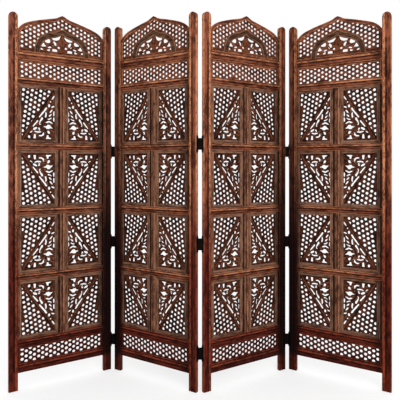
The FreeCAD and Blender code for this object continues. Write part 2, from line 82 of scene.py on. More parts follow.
# %% Where the panels stand
FOLD_ANGLE = math.radians(31)
PIN_SPACING = POST_THICKNESS + 1 * MM
PIN_SETBACK = 3.4 * MM
RUN = math.cos(FOLD_ANGLE)
HALF_DEPTH = PANEL_WIDTH / 2 * math.sin(FOLD_ANGLE)
MIDDLE_EDGE = PIN_SPACING / 2 + PIN_SETBACK * RUN
FAR_EDGE = PIN_SPACING / 2 + (PANEL_WIDTH + PIN_SETBACK) * RUN
NEXT_EDGE = PIN_SPACING * 1.5 + (PANEL_WIDTH + 3 * PIN_SETBACK) * RUN
OUTER_EDGE = PIN_SPACING * 1.5 + (2 * PANEL_WIDTH + 3 * PIN_SETBACK) * RUN
PLACES = {
    "panel_1": (-OUTER_EDGE, -HALF_DEPTH, FOLD_ANGLE),
    "panel_2": (-FAR_EDGE, HALF_DEPTH, -FOLD_ANGLE),
    "panel_3": (MIDDLE_EDGE, -HALF_DEPTH, FOLD_ANGLE),
    "panel_4": (NEXT_EDGE, HALF_DEPTH, -FOLD_ANGLE),
}
print("panels", len(PLACES), "outer edge", round(OUTER_EDGE, 4))

# %% [markdown]
# The screen is looked at from the front, from about two and a third metres, with upright posts upright.
# A camera could be tilted down to take in the feet, but then the posts would lean together. So it stays
# level, as one for buildings does, and its picture is shifted down.

# %% Camera
EYE_DISTANCE = 2.32724
EYE_HEIGHT = 1.06811
camera_data = bpy.data.cameras.new("front view")
camera_data.sensor_width = 36.0
camera_data.lens = 41.59
camera_data.shift_y = -0.0813
camera = bpy.data.objects.new("front view", camera_data)
camera.location = (0.0, -EYE_DISTANCE, EYE_HEIGHT)
camera.rotation_euler = (math.radians(90), 0.0, 0.0)
scene.collection.objects.link(camera)
scene.camera = camera
print("lens", camera_data.lens)

# %% [markdown]
# Every finish and most shapes below are node trees. They could be drawn by hand in the node editor, but a
# tree in a script is made again in the same way each time. This helper adds a node and feeds its sockets
# with values or links, joins and marks shapes, and ends a tree with real meshes and their material.

# %% Helper for nodes
class Nodes:
    """Adds nodes to one tree and joins them."""

    def __init__(self, tree):
        self.tree = tree

    def feed(self, socket, value):
        if isinstance(value, bpy.types.NodeSocket):
            self.tree.links.new(value, socket)
        else:
            socket.default_value = value

    def node(self, kind, feeds=None, **settings):
        made = self.tree.nodes.new(kind)
        for key, value in settings.items():
            setattr(made, key, value)
        for key, value in (feeds or {}).items():
            self.feed(made.inputs[key], value)
        return made

    def first(self, kind, feeds=None, **settings):
        """Adds a node and hands back its first output."""
        return self.node(kind, feeds, **settings).outputs[0]

    def join(self, *parts):
        """All the parts as one geometry."""
        made = self.node("GeometryNodeJoinGeometry")
        for part in parts:
            self.tree.links.new(part, made.inputs[0])
        return made.outputs[0]

    def store(self, geometry, name, value, domain="POINT"):
        """Marks every point or face with a number that a material can read."""
        feeds = {"Geometry": geometry, "Name": name, "Value": value}
        return self.first("GeometryNodeStoreNamedAttribute", feeds, data_type="FLOAT", domain=domain)

    def finish(self, geometry, material, result):
        """Ends a shape's tree: real meshes in place of instances, with their material."""
        geometry = self.first("GeometryNodeRealizeInstances", {"Geometry": geometry})
        geometry = self.first("GeometryNodeSetMaterial", {"Geometry": geometry, "Material": material})
        self.feed(result["Geometry"], geometry)


print("node helper ready")

# %% [markdown]
# Most of the trees' nodes do arithmetic. Each could be spelled out as a node, but then a formula is lost
# among its wires. With short forms for arithmetic and vectors, a tree reads like the formula that it
# stands for.

# %% Helper for formulas
class Wires(Nodes):
    """Adds nodes for arithmetic, with numbers or with the outputs of other nodes."""

    def calc(self, operation, *values, clamp=False):
        made = self.node("ShaderNodeMath", operation=operation, use_clamp=clamp)
        for number, value in enumerate(values):
            self.feed(made.inputs[number], value)
        return made.outputs[0]

    def plus(self, a, b):
        return self.calc("ADD", a, b)

    def minus(self, a, b):
        return self.calc("SUBTRACT", a, b)

    def times(self, a, b, clamp=False):
        return self.calc("MULTIPLY", a, b, clamp=clamp)

    def over(self, a, b):
        return self.calc("DIVIDE", a, b)

    def larger(self, a, b):
        return self.calc("MAXIMUM", a, b)

    def size(self, a):
        """The value without its sign."""
        return self.calc("ABSOLUTE", a)

    def vector(self, x, y, z):
        return self.first("ShaderNodeCombineXYZ", {"X": x, "Y": y, "Z": z})

    def vector_calc(self, operation, first, second):
        """Arithmetic with whole vectors. To SCALE, the second value is a number."""
        slot = "Scale" if operation == "SCALE" else 1
        return self.first("ShaderNodeVectorMath", {0: first, slot: second}, operation=operation)

    def split(self, vector):
        return self.node("ShaderNodeSeparateXYZ", {"Vector": vector}).outputs

    def ramp(self, value, start, end, to_start=0.0, to_end=1.0, smooth=True):
        """A value that goes from one number to another while the first value goes from start to end."""
        made = self.node("ShaderNodeMapRange", interpolation_type="SMOOTHSTEP" if smooth else "LINEAR")
        for name, number in (("Value", value), ("From Min", start), ("From Max", end),
                             ("To Min", to_start), ("To Max", to_end)):
            self.feed(made.inputs[name], number)
        return made.outputs["Result"]

    def mark(self, name):
        """The number that a shape's points or faces carry under this name, for a material."""
        return self.node("ShaderNodeAttribute", attribute_name=name).outputs["Fac"]


print("formula helper ready")

# %% [markdown]
# A tree's sizes could be typed into its nodes. Named inputs are better: one tree then makes every stick
# or board of the screen, each time with other sizes.

# %% Helper for named inputs
def new_tree(name, kind, sockets, outputs):
    """A node group with named inputs and outputs."""
    tree = bpy.data.node_groups.new(name, kind)
    for label, socket_type, value in sockets:
        socket = tree.interface.new_socket(label, in_out="INPUT", socket_type=socket_type)
        if value is not None:
            socket.default_value = value
    for label, socket_type in outputs:
        tree.interface.new_socket(label, in_out="OUTPUT", socket_type=socket_type)
    wires = Wires(tree)
    return tree, wires, wires.node("NodeGroupInput").outputs, wires.node("NodeGroupOutput").inputs


FLOAT = "NodeSocketFloat"
COUNT = "NodeSocketInt"
VECTOR = "NodeSocketVector"
COLOUR = "NodeSocketColor"
GEOMETRY = "NodeSocketGeometry"
OBJECT = "NodeSocketObject"
MATERIAL = "NodeSocketMaterial"
print("tree helper ready")

# %% [markdown]
# The room is plain and pale. A white wall could stand behind the screen, but it would throw its light
# through every hole. So the white is in the world, and only the camera, glossy and clear things see it,
# while an even sky and one large lamp, in front and above, light the wood softly.

# %% Room
SKY_STRENGTH = 1.05
LAMP_POWER = 45.0
WHITE = (1.0, 1.0, 1.0, 1.0)


def clear_view(wires):
    """1 for the rays that should see the plain white background: camera, glossy and clear ones."""
    rays = wires.node("ShaderNodeLightPath").outputs
    seen = wires.larger(rays["Is Camera Ray"], rays["Is Transmission Ray"])
    return wires.larger(seen, rays["Is Glossy Ray"])


world = bpy.data.worlds.new("pale room")
scene.world = world
world.use_nodes = True
world.node_tree.nodes.clear()
sky = Wires(world.node_tree)
soft = sky.node("ShaderNodeBackground", {"Color": WHITE, "Strength": SKY_STRENGTH})
white = sky.node("ShaderNodeBackground", {"Color": WHITE, "Strength": 1.0})
seen = sky.node("ShaderNodeMixShader", {"Fac": clear_view(sky), 1: soft.outputs[0], 2: white.outputs[0]})
sky.node("ShaderNodeOutputWorld", {"Surface": seen.outputs[0]})

lamp_data = bpy.data.lights.new("soft lamp", "AREA")
lamp_data.shape = "RECTANGLE"
lamp_data.size = 2.0
lamp_data.size_y = 1.6
lamp_data.energy = LAMP_POWER
lamp = bpy.data.objects.new("soft lamp", lamp_data)
lamp.location = (1.0, -3.0, 1.9)
lamp.rotation_euler = (Vector((0.0, 0.0, 0.9)) - lamp.location).to_track_quat("-Z", "Y").to_euler()
scene.collection.objects.link(lamp)
scene.view_settings.view_transform = "Standard"
print("room ready")

# %% [markdown]
# The wood is a hardwood such as sheesham or mango, stained a red mahogany. An image could be laid on each
# piece, but it would need an unwrapped map for every carved face, and would repeat. Noise drawn out
# along the grain needs none. All the stains share this group: fibres and clouds in the wood, stain rubbed
# off where hands and sandpaper reach, dark colour in the grooves, which is stain that stays in a stick's
# grooves and painted shade in holes and on sawn edges, and painted shade low down and in the folds.

# %% Wood shader group
LOW_SHADE_TINT = (0.42, 0.20, 0.20, 1.0)
SHADE_TINT = (0.06, 0.03, 0.03, 1.0)
wood_tree, wires, given, result = new_tree(
    "stained wood", "ShaderNodeTree",
    [("Dark", COLOUR, (0.05, 0.012, 0.006, 1.0)), ("Light", COLOUR, (0.16, 0.05, 0.022, 1.0)),
     ("Rubbed", COLOUR, (0.42, 0.16, 0.06, 1.0)), ("Grime and shade", COLOUR, (0.008, 0.003, 0.002, 1.0)),
     ("Worn", FLOAT, 0.0), ("Groove", FLOAT, 0.0), ("Low shade", FLOAT, 0.0), ("Shade", FLOAT, 0.0)],
    [("Colour", COLOUR), ("Roughness", FLOAT), ("Height", FLOAT)])
grain = wires.node("ShaderNodeAttribute", attribute_name="grain").outputs["Vector"]


def noise(squeeze, scale, detail):
    """Noise with its pattern drawn out along the grain, the more so the smaller squeeze is."""
    drawn_out = wires.first("ShaderNodeMapping", {"Vector": grain, "Scale": (1.0, 1.0, squeeze)})
    made = wires.node("ShaderNodeTexNoise", {"Vector": drawn_out, "Scale": scale, "Detail": detail})
    return made.outputs["Fac"]


def blend_colour(wires, share, first, second, how="MIX"):
    """The first colour where the share is 0 and the second where it is 1."""
    feeds = {"Factor": share, 6: first, 7: second}
    return wires.node("ShaderNodeMix", feeds, data_type="RGBA", blend_type=how).outputs[2]


fibre = noise(squeeze=0.07, scale=520.0, detail=4.0)
cloud = noise(squeeze=0.2, scale=28.0, detail=3.0)
fleck = noise(squeeze=0.28, scale=190.0, detail=2.0)
speck = noise(squeeze=0.8, scale=260.0, detail=2.0)
mottle = noise(squeeze=0.3, scale=75.0, detail=3.0)
print("wood noises ready")

# %% [markdown]
# The colour is built up in steps: bare wood of two tones, stain rubbed off in flecks, painted shade low
# down, painted shade in the folds, and a dark colour in the grooves, which is stain left in them and, in
# holes and on sawn edges, painted shade. A colour ramp could do the tones alone. Each step is a mix
# instead, so that a piece's own marks can switch it on or off.

# %% Wood colour
FLECKS_FROM, FLECKS_TO = 0.42, 0.58
tone = wires.plus(wires.times(fibre, 0.3), wires.times(cloud, 0.3))
tone = wires.ramp(wires.plus(tone, wires.times(mottle, 0.4)), FLECKS_FROM, FLECKS_TO)
bare = blend_colour(wires, tone, given["Dark"], given["Light"])
flecks = wires.plus(wires.times(fleck, 0.6), wires.times(cloud, 0.4))
flecks = wires.ramp(flecks, FLECKS_FROM, FLECKS_TO)
rub = wires.times(given["Worn"], wires.ramp(flecks, 0.0, 1.0, 0.15, 1.0), clamp=True)
rubbed = blend_colour(wires, rub, bare, given["Rubbed"])
# Painted shade: the deep mark darkens the wood towards the floor, and the shade mark makes it near black in
# the folds and beside the right post.
deep = blend_colour(wires, given["Low shade"], rubbed, LOW_SHADE_TINT, "MULTIPLY")
shaded = blend_colour(wires, given["Shade"], deep, SHADE_TINT, "MULTIPLY")
gouge = noise(squeeze=0.45, scale=85.0, detail=1.0)
# The groove mark's dark colour is stain in a stick's grooves, and painted shade on the walls of holes, on
# sawn edges and low on the leaves.
grime_and_shade = wires.times(given["Groove"], wires.ramp(gouge, 0.36, 0.54, 0.5, 1.0), clamp=True)
wires.feed(result["Colour"], blend_colour(wires, grime_and_shade, shaded, given["Grime and shade"]))
wires.feed(result["Roughness"], wires.ramp(wires.plus(fibre, grime_and_shade), 0.3, 1.2, 0.45, 0.75))
wires.feed(result["Height"], wires.plus(wires.times(fibre, 0.7), wires.times(speck, 0.3)))
print("wood group", len(wood_tree.nodes), "nodes")


# %% [markdown]
# The screen isn't one colour: the frame is redder than the inserts, the pierced boards are darker, and
# the arches browner. Each could be a material of its own from the ground up. Instead each places the
# shared group with three colours, for the dark and the light of the bare wood and for where it is
# rubbed. The pieces' own marks, stored on their points, say where the wood is worn or sunk, and where
# shade is painted on it.

# %% Wood materials
WOOD_GLOSS = 0.05
GRAIN_HEIGHT = 0.0006


def wood(name, dark, light, rubbed, wear=1.0):
    """A stained wood that reads the piece's own worn and groove marks and its painted shade marks."""
    material = bpy.data.materials.new(name)
    material.use_nodes = True
    material.node_tree.nodes.clear()
    wires = Wires(material.node_tree)
    worn, groove = wires.mark("worn"), wires.mark("groove")
    shared = wires.node("ShaderNodeGroup", node_tree=wood_tree)
    for label, value in (("Dark", dark), ("Light", light), ("Rubbed", rubbed)):
        shared.inputs[label].default_value = (*value, 1.0)
    wires.feed(shared.inputs["Worn"], wires.times(worn, wear))
    wires.feed(shared.inputs["Groove"], groove)
    wires.feed(shared.inputs["Low shade"], wires.mark("deep"))
    wires.feed(shared.inputs["Shade"], wires.mark("shade"))
    bump = wires.first("ShaderNodeBump", {
        "Height": shared.outputs["Height"], "Strength": 0.35, "Distance": GRAIN_HEIGHT})
    skin = wires.first("ShaderNodeBsdfPrincipled", {
        "Base Color": shared.outputs["Colour"], "Roughness": shared.outputs["Roughness"],
        "Normal": bump, "Specular IOR Level": WOOD_GLOSS})
    wires.node("ShaderNodeOutputMaterial", {"Surface": skin})
    return material


frame_wood = wood("mahogany stain", (0.06, 0.014, 0.007), (0.26, 0.076, 0.038), (0.68, 0.29, 0.135))
insert_wood = wood("brown stain", (0.06, 0.024, 0.014), (0.225, 0.108, 0.067), (0.39, 0.205, 0.125), wear=0.8)
mullion_wood = wood("red brown stain", (0.055, 0.018, 0.010), (0.23, 0.092, 0.050), (0.46, 0.21, 0.105))
lattice_wood = wood(
    "dark red stain", (0.012, 0.0035, 0.002), (0.086, 0.024, 0.0115), (0.37, 0.12, 0.048), wear=0.9)
band_wood = wood("orange brown stain", (0.048, 0.012, 0.0055), (0.20, 0.062, 0.029), (0.46, 0.17, 0.07))
arch_wood = wood("arch stain", (0.06, 0.025, 0.014), (0.18, 0.084, 0.046), (0.34, 0.17, 0.085), wear=0.8)
# Near-black wood for the strips that stand in the unlit gaps: painted shadow.
shadow_wood = wood(
    "painted gap shadow", (0.006, 0.003, 0.002), (0.012, 0.006, 0.004), (0.02, 0.01, 0.006), wear=0.2)
print("woods", len(bpy.data.materials))

# %% [markdown]
# The hinges are cast iron painted black, with a trace of rust where the paint is thin. They could be
# bare metal with a high Metallic, but paint is what shows. So the finish is a nearly black, nearly
# matt paint over fine casting bumps. Its noise is on Object coordinates, because the iron has no grain.

# %% Iron
BLACK_PAINT = (0.0022, 0.0018, 0.0018, 1.0)
RUSTY_PAINT = (0.009, 0.0055, 0.004, 1.0)
IRON_GLOSS = 0.03
CASTING_HEIGHT = 0.0004
iron = bpy.data.materials.new("black iron")
iron.use_nodes = True
iron.node_tree.nodes.clear()
wires = Wires(iron.node_tree)
place = wires.node("ShaderNodeTexCoord").outputs["Object"]
cast = wires.node("ShaderNodeTexNoise", {"Vector": place, "Scale": 160.0, "Detail": 4.0}).outputs["Fac"]
rust = wires.node("ShaderNodeTexNoise", {"Vector": place, "Scale": 45.0, "Detail": 3.0}).outputs["Fac"]
tint = blend_colour(wires, wires.ramp(rust, 0.58, 0.8), BLACK_PAINT, RUSTY_PAINT)
bump = wires.first("ShaderNodeBump", {"Height": cast, "Strength": 0.4, "Distance": CASTING_HEIGHT})
skin = wires.first("ShaderNodeBsdfPrincipled", {
    "Base Color": tint, "Roughness": wires.ramp(cast, 0.3, 0.7, 0.45, 0.7),
    "Specular IOR Level": IRON_GLOSS, "Normal": bump})
wires.node("ShaderNodeOutputMaterial", {"Surface": skin})
print("materials", len(bpy.data.materials))

# %% [markdown]
# A pierced board, a jali, is sawn to its outline and then drilled. The holes could be cut out of a solid
# with booleans, but thousands of them are slow and leave poor faces. So this tree draws the openings as
# curves and fills the board between them. These are its inputs: the outline, the sawn openings, the area
# that is drilled, and the sizes of the holes and of the board.

# %% Board tree: inputs
board_tree, wires, given, result = new_tree(
    "pierced board", "GeometryNodeTree",
    [("Geometry", GEOMETRY, None), ("Outline", OBJECT, None), ("Openings", OBJECT, None),
     ("Drilled area", OBJECT, None), ("First hole", VECTOR, None), ("Hole diameter", FLOAT, 0.0135),
     ("Column pitch", FLOAT, 0.019), ("Row pitch", FLOAT, 0.0225), ("Lean", FLOAT, 0.0),
     ("Wander", FLOAT, 0.0008), ("Sides", COUNT, 14), ("Thickness", FLOAT, 0.006),
     ("Chamfer", FLOAT, 0.0011), ("Seed", COUNT, 3), ("Material", MATERIAL, None)],
    [("Geometry", GEOMETRY)])


def curves_of(wires, owner):
    """The curves of one input object, as plain polylines."""
    found = wires.node("GeometryNodeObjectInfo", {"Object": owner}).outputs["Geometry"]
    return wires.first("GeometryNodeResampleCurve", {"Curve": found}, mode="EVALUATED")


print("board inputs", len(board_tree.interface.items_tree) - 1)

# %% [markdown]
# The carver marks a leaning grid in which every second column is half a step higher, and drills each
# crossing by hand, so the holes wander a little. The places could be a typed list. A rule is shorter and
# fits any board: number all crossings of a grid that is a few steps larger than the area, and turn each
# number into a column, a row and a place.

# %% Board tree: grid of crossings
SPARE_STEPS = 4
area = wires.first("GeometryNodeFillCurve", {"Curve": curves_of(wires, given["Drilled area"])})
box = wires.node("GeometryNodeBoundBox", {"Geometry": area}).outputs
reach = wires.split(wires.vector_calc("SUBTRACT", box["Max"], box["Min"]))
columns = wires.plus(wires.calc("CEIL", wires.over(reach[0], given["Column pitch"])), 2 * SPARE_STEPS)
rows = wires.plus(wires.calc("CEIL", wires.over(reach[1], given["Row pitch"])), 2 * SPARE_STEPS)
index = wires.first("GeometryNodeInputIndex")
column = wires.minus(wires.calc("FLOOR", wires.over(index, rows)), SPARE_STEPS)
row = wires.minus(wires.calc("FLOORED_MODULO", index, rows), SPARE_STEPS)
stagger = wires.times(wires.calc("FLOORED_MODULO", column, 2.0), 0.5)
up = wires.times(wires.plus(row, stagger), given["Row pitch"])
lean = wires.times(up, wires.calc("TANGENT", given["Lean"]))
aside = wires.plus(wires.times(column, given["Column pitch"]), lean)
spread = wires.first("FunctionNodeRandomValue", {
    "Seed": given["Seed"], 0: (-1.0, -1.0, 0.0), 1: (1.0, 1.0, 0.0)}, data_type="FLOAT_VECTOR")
drift = wires.vector_calc("SCALE", spread, given["Wander"])
spot = wires.vector_calc("ADD", wires.vector(aside, up, 0.0), given["First hole"])
spot = wires.vector_calc("ADD", spot, drift)
crossings = wires.first("GeometryNodePoints", {"Count": wires.times(columns, rows), "Position": spot})
print("grid made with", len(board_tree.nodes), "nodes")

# %% [markdown]
# Only the crossings inside the drilled area are drilled. They could be picked by comparing numbers, which
# does for a rectangle only. A ray sent down from each crossing finds out whether the area lies below it,
# whatever its outline. A drill bit is never twice quite the same size in soft and hard grain, so each
# circle is scaled a little.

# %% Board tree: drilling
ABOVE = (0, 0, 1)
HOLE_SMALLEST = 0.94
HOLE_LARGEST = 1.04
above = wires.vector_calc("ADD", wires.first("GeometryNodeInputPosition"), ABOVE)
hit = wires.node("GeometryNodeRaycast", {
    "Target Geometry": area, "Source Position": above, "Ray Direction": (0, 0, -1),
    "Ray Length": 2.0}).outputs["Is Hit"]
outside = wires.first("FunctionNodeBooleanMath", {0: hit}, operation="NOT")
kept = wires.first("GeometryNodeDeleteGeometry", {"Geometry": crossings, "Selection": outside})
circle = wires.first("GeometryNodeCurvePrimitiveCircle", {
    "Resolution": given["Sides"], "Radius": wires.over(given["Hole diameter"], 2.0)})
each = wires.node("FunctionNodeRandomValue", {
    "Seed": given["Seed"], 2: HOLE_SMALLEST, 3: HOLE_LARGEST}, data_type="FLOAT").outputs[1]
holes = wires.first("GeometryNodeInstanceOnPoints", {"Points": kept, "Instance": circle, "Scale": each})
holes = wires.first("GeometryNodeRealizeInstances", {"Geometry": holes})
cuts = wires.join(holes, curves_of(wires, given["Openings"]))
cuts = wires.first("GeometryNodeSetCurveNormal", {"Curve": cuts}, mode="Z_UP")
print("drilling made with", len(board_tree.nodes), "nodes")

# %% [markdown]
# A hole has a wall as deep as the board, and sanding leaves a small chamfer at both faces. A hole painted
# on a flat board would look like paper from the side. So a rib of four points, from face to face with
# both chamfers, is swept round every hole and every sawn opening.

# %% Board tree: walls of the openings
RIB_POINTS = 4
RIB_MIDDLE = (RIB_POINTS - 1) / 2
half = wires.over(given["Thickness"], 2.0)
below_chamfer = wires.minus(half, given["Chamfer"])
rib = wires.first("GeometryNodeCurvePrimitiveLine")
rib = wires.first("GeometryNodeResampleCurve", {"Curve": rib, "Count": RIB_POINTS}, mode="COUNT")
number = wires.first("GeometryNodeInputIndex")
low_side = wires.calc("GREATER_THAN", number, RIB_MIDDLE)
at_end = wires.calc("GREATER_THAN", wires.size(wires.minus(number, RIB_MIDDLE)), 1.0)
level = wires.plus(below_chamfer, wires.times(at_end, given["Chamfer"]))
level = wires.times(level, wires.minus(1.0, wires.times(low_side, 2.0)))
rib = wires.first("GeometryNodeSetPosition", {
    "Geometry": rib, "Position": wires.vector(wires.times(at_end, given["Chamfer"]), level, 0.0)})
walls = wires.first("GeometryNodeCurveToMesh", {"Curve": cuts, "Profile Curve": rib})
print("walls made with", len(board_tree.nodes), "nodes")

# %% [markdown]
# The two faces of the board are what is left between its outline and the openings, which are wider there
# by the chamfer. A face could be built for the front and the back apart, but one filled face, moved
# forwards for the front and turned over for the back, is sure to match the walls on both sides.

# %% Board tree: faces and edge
along = wires.split(wires.first("GeometryNodeInputTangent"))
outward = wires.vector(along[1], wires.times(along[0], -1.0), 0.0)
outward = wires.vector_calc("SCALE", outward, given["Chamfer"])
wide_cuts = wires.first("GeometryNodeSetPosition", {"Geometry": cuts, "Offset": outward})
outline = wires.first("GeometryNodeSetCurveNormal", {
    "Curve": curves_of(wires, given["Outline"])}, mode="Z_UP")
face = wires.first("GeometryNodeFillCurve", {"Curve": wires.join(wide_cuts, outline)})
to_front = wires.vector(0.0, 0.0, half)
front = wires.first("GeometryNodeTransform", {"Geometry": face, "Translation": to_front})
to_back = wires.vector(0.0, 0.0, wires.times(half, -1.0))
back = wires.first("GeometryNodeTransform", {"Geometry": face, "Translation": to_back})
back = wires.first("GeometryNodeFlipFaces", {"Mesh": back})
edge_line = wires.first("GeometryNodeCurvePrimitiveLine", {
    "Start": wires.vector(0.0, half, 0.0), "End": wires.vector(0.0, wires.times(half, -1.0), 0.0)})
edge = wires.first("GeometryNodeCurveToMesh", {"Curve": outline, "Profile Curve": edge_line})
print("faces made with", len(board_tree.nodes), "nodes")

# %% [markdown]
# The walls of the holes and the sawn edges lie in shade, so shade is painted on them. Those faces could
# be painted by hand. But each of them looks sideways or slants, so a rule finds them: a face that doesn't
# look straight forwards or back gets the groove mark that the wood's shader reads, as painted shade.

# %% Board tree: joining
WELD = 0.00002
STRAIGHT_ON = 0.97
HOLE_SHADE = 0.85
whole = wires.join(walls, front, back, edge)
whole = wires.first("GeometryNodeMergeByDistance", {"Geometry": whole, "Distance": WELD})
facing = wires.split(wires.first("GeometryNodeInputNormal"))[2]
sideways = wires.calc("LESS_THAN", wires.size(facing), STRAIGHT_ON)
whole = wires.store(whole, "groove", wires.times(sideways, HOLE_SHADE), "FACE")
wires.finish(whole, given["Material"], result)
print("board tree", len(board_tree.nodes), "nodes")

# %% [markdown]
# Posts, rails, mullions and rims are planed sticks with a groove down their face. A gouge cuts it in
# short overlapping strokes, so its sides are scalloped. Each stick could be modelled apart. One tree
# makes them all from their sizes, out of a block with enough points to be carved.

# %% Stick tree: block
stick_tree, wires, given, result = new_tree(
    "carved stick", "GeometryNodeTree",
    [("Geometry", GEOMETRY, None), ("Length", FLOAT, 0.4), ("Width", FLOAT, 0.04),
     ("Thickness", FLOAT, 0.02), ("Groove width", FLOAT, 0.008), ("Groove depth", FLOAT, 0.002),
     ("Scallop pitch", FLOAT, 0.012), ("Groove place", FLOAT, 0.0), ("Groove stain", FLOAT, 1.0),
     ("Line place", FLOAT, 0.62), ("Line depth", FLOAT, 0.0008), ("Ridge place", FLOAT, 0.4),
     ("Ridge wear", FLOAT, 1.0), ("Ease", FLOAT, 0.0015), ("Plain start", FLOAT, 0.0),
     ("Plain end", FLOAT, 0.0), ("Round top", FLOAT, 0.0), ("Mitre", FLOAT, 0.0), ("Step", FLOAT, 0.005),
     ("Across", COUNT, 15), ("Material", MATERIAL, None)],
    [("Geometry", GEOMETRY)])
steps = wires.plus(wires.calc("CEIL", wires.over(given["Length"], given["Step"])), 1.0)
block = wires.first("GeometryNodeMeshCube", {
    "Size": wires.vector(given["Width"], given["Thickness"], given["Length"]),
    "Vertices X": given["Across"], "Vertices Y": 3, "Vertices Z": steps})
here = wires.split(wires.first("GeometryNodeInputPosition"))
half_width = wires.over(given["Width"], 2.0)
half_thick = wires.over(given["Thickness"], 2.0)
travel = wires.plus(here[2], wires.over(given["Length"], 2.0))
off_middle = wires.size(here[0])
share = wires.over(off_middle, half_width)
signed_share = wires.over(here[0], half_width)
print("block made with", len(stick_tree.nodes), "nodes")

# %% [markdown]
# The groove could be a dark stripe of paint, but light from the side shows that it is cut. So the points
# of the face sink where the groove runs. How wide it is swings with the strokes of the gouge, and it
# fades out where the stick stays plain, as on a leg.

# %% Stick tree: scalloped groove
STROKE_NARROW = 0.45
STROKE_WIDE = 1.1
FADE = 0.006
groove_line = wires.times(half_width, given["Groove place"])
off_groove = wires.size(wires.minus(here[0], groove_line))
stroke = wires.over(wires.times(travel, math.pi), given["Scallop pitch"])
stroke = wires.size(wires.calc("SINE", stroke))
groove_half = wires.times(wires.over(given["Groove width"], 2.0),
                          wires.ramp(stroke, 0.0, 1.0, STROKE_NARROW, STROKE_WIDE))
groove = wires.ramp(off_groove, groove_half, wires.times(groove_half, 0.5))
from_start = wires.ramp(travel, given["Plain start"], wires.plus(given["Plain start"], FADE))
to_end = wires.ramp(wires.minus(given["Length"], travel), given["Plain end"],
                    wires.plus(given["Plain end"], FADE))
carved = wires.times(from_start, to_end)
groove = wires.times(groove, carved)
print("groove made with", len(stick_tree.nodes), "nodes")

# %% [markdown]
# Beside the groove run finer lines, cut with a scratch stock, and the long corners are eased with a
# plane. A bevel modifier could ease the corners, but it can't do the lines. Here both are one more depth
# that each point of the face sinks by, which also keeps the sides of the stick straight.

# %% Stick tree: lines and eased corners
LINE_OUTER = 0.12
LINE_INNER = 0.02
EASED_FROM = 0.85
FACE_FROM = 0.9
off_line = wires.size(wires.minus(share, given["Line place"]))
line = wires.times(wires.ramp(off_line, LINE_OUTER, LINE_INNER), carved)
sunk = wires.plus(wires.times(groove, given["Groove depth"]), wires.times(line, given["Line depth"]))
sunk = wires.plus(sunk, wires.times(wires.ramp(share, EASED_FROM, 1.0), given["Ease"]))
on_face = wires.calc("GREATER_THAN", wires.size(here[1]), wires.times(half_thick, FACE_FROM))
inward = wires.times(wires.times(wires.calc("SIGN", here[1]), -1.0), wires.times(on_face, sunk))
print("lines made with", len(stick_tree.nodes), "nodes")

# %% [markdown]
# A post is round at the top, and the sticks of a rim meet in mitred corners. Both could be cut with
# booleans. Moving the points of the ends along the stick does the same and keeps the carving's points in
# even rows: by the drop of a circle for a round top, and by the place across for a mitre.

# %% Stick tree: round top and mitres
TOP_REACH = 0.08
round_drop = wires.minus(wires.times(given["Round top"], given["Round top"]),
                         wires.times(off_middle, off_middle))
round_drop = wires.minus(given["Round top"], wires.calc("SQRT", wires.larger(round_drop, 0.0)))
near_top = wires.ramp(travel, wires.minus(given["Length"], TOP_REACH), given["Length"], smooth=False)
corner = wires.times(wires.plus(here[0], half_width), given["Mitre"])
lean_in = wires.minus(1.0, wires.times(wires.over(travel, given["Length"]), 2.0))
shift = wires.minus(wires.times(corner, lean_in), wires.times(round_drop, near_top))
print("ends made with", len(stick_tree.nodes), "nodes")

# %% [markdown]
# Stain stays in the groove and the lines and is rubbed off the long edges and the ridge beside the
# groove. These could be found by the shader from the mesh's angles, but such a shader doesn't bake well.
# So each point carries two marks, groove and worn, from the same numbers that carve the stick.

# %% Stick tree: marks
FULL_LINE = 0.0016
EDGE_FROM = 0.8
EDGE_WEAR = 0.8
RIDGE_OUTER = 0.26
RIDGE_INNER = 0.06
line_stain = wires.times(line, wires.over(given["Line depth"], FULL_LINE))
stick = wires.store(block, "groove", wires.larger(wires.times(groove, given["Groove stain"]), line_stain))
off_ridge = wires.size(wires.minus(signed_share, given["Ridge place"]))
edge_worn = wires.times(wires.ramp(share, EDGE_FROM, 1.0), EDGE_WEAR)
ridge_worn = wires.times(wires.ramp(off_ridge, RIDGE_OUTER, RIDGE_INNER), given["Ridge wear"])
stick = wires.store(stick, "worn", wires.larger(edge_worn, ridge_worn))
moved = wires.vector(0.0, inward, wires.plus(shift, wires.over(given["Length"], 2.0)))
stick = wires.first("GeometryNodeSetPosition", {"Geometry": stick, "Offset": moved})
wires.finish(stick, given["Material"], result)
print("stick tree", len(stick_tree.nodes), "nodes")

# %% [markdown]
# The curved strips, which are the crown's border, the frame of its arch and the stem of the vine, are
# sawn from board and moulded on the face. A curve's own bevel could make them, but it gives a round or a
# plain section. So this tree sweeps a section of its own along a drawn line. The section starts as a
# circle pushed out to a square, which spreads its points along the two faces.

# %% Strip tree: section
strip_tree, wires, given, result = new_tree(
    "swept strip", "GeometryNodeTree",
    [("Geometry", GEOMETRY, None), ("Path", OBJECT, None), ("Width", FLOAT, 0.016),
     ("Thickness", FLOAT, 0.016), ("Groove depth", FLOAT, 0.0015), ("Ease", FLOAT, 0.0012),
     ("Material", MATERIAL, None)],
    [("Geometry", GEOMETRY)])
SECTION_POINTS = 24
GROOVE_SHARE = 0.35
GROOVE_OUTER = 0.3
GROOVE_INNER = 0.1
FLAT_FROM = 0.98
path = wires.first("GeometryNodeSetCurveNormal", {"Curve": curves_of(wires, given["Path"])}, mode="Z_UP")
ring = wires.first("GeometryNodeCurvePrimitiveCircle", {"Resolution": SECTION_POINTS, "Radius": 1.0})
spot = wires.split(wires.first("GeometryNodeInputPosition"))
push = wires.larger(wires.size(spot[0]), wires.size(spot[1]))
side = wires.over(spot[0], push)
tall = wires.over(spot[1], push)
off_line = wires.size(wires.minus(wires.size(side), GROOVE_SHARE))
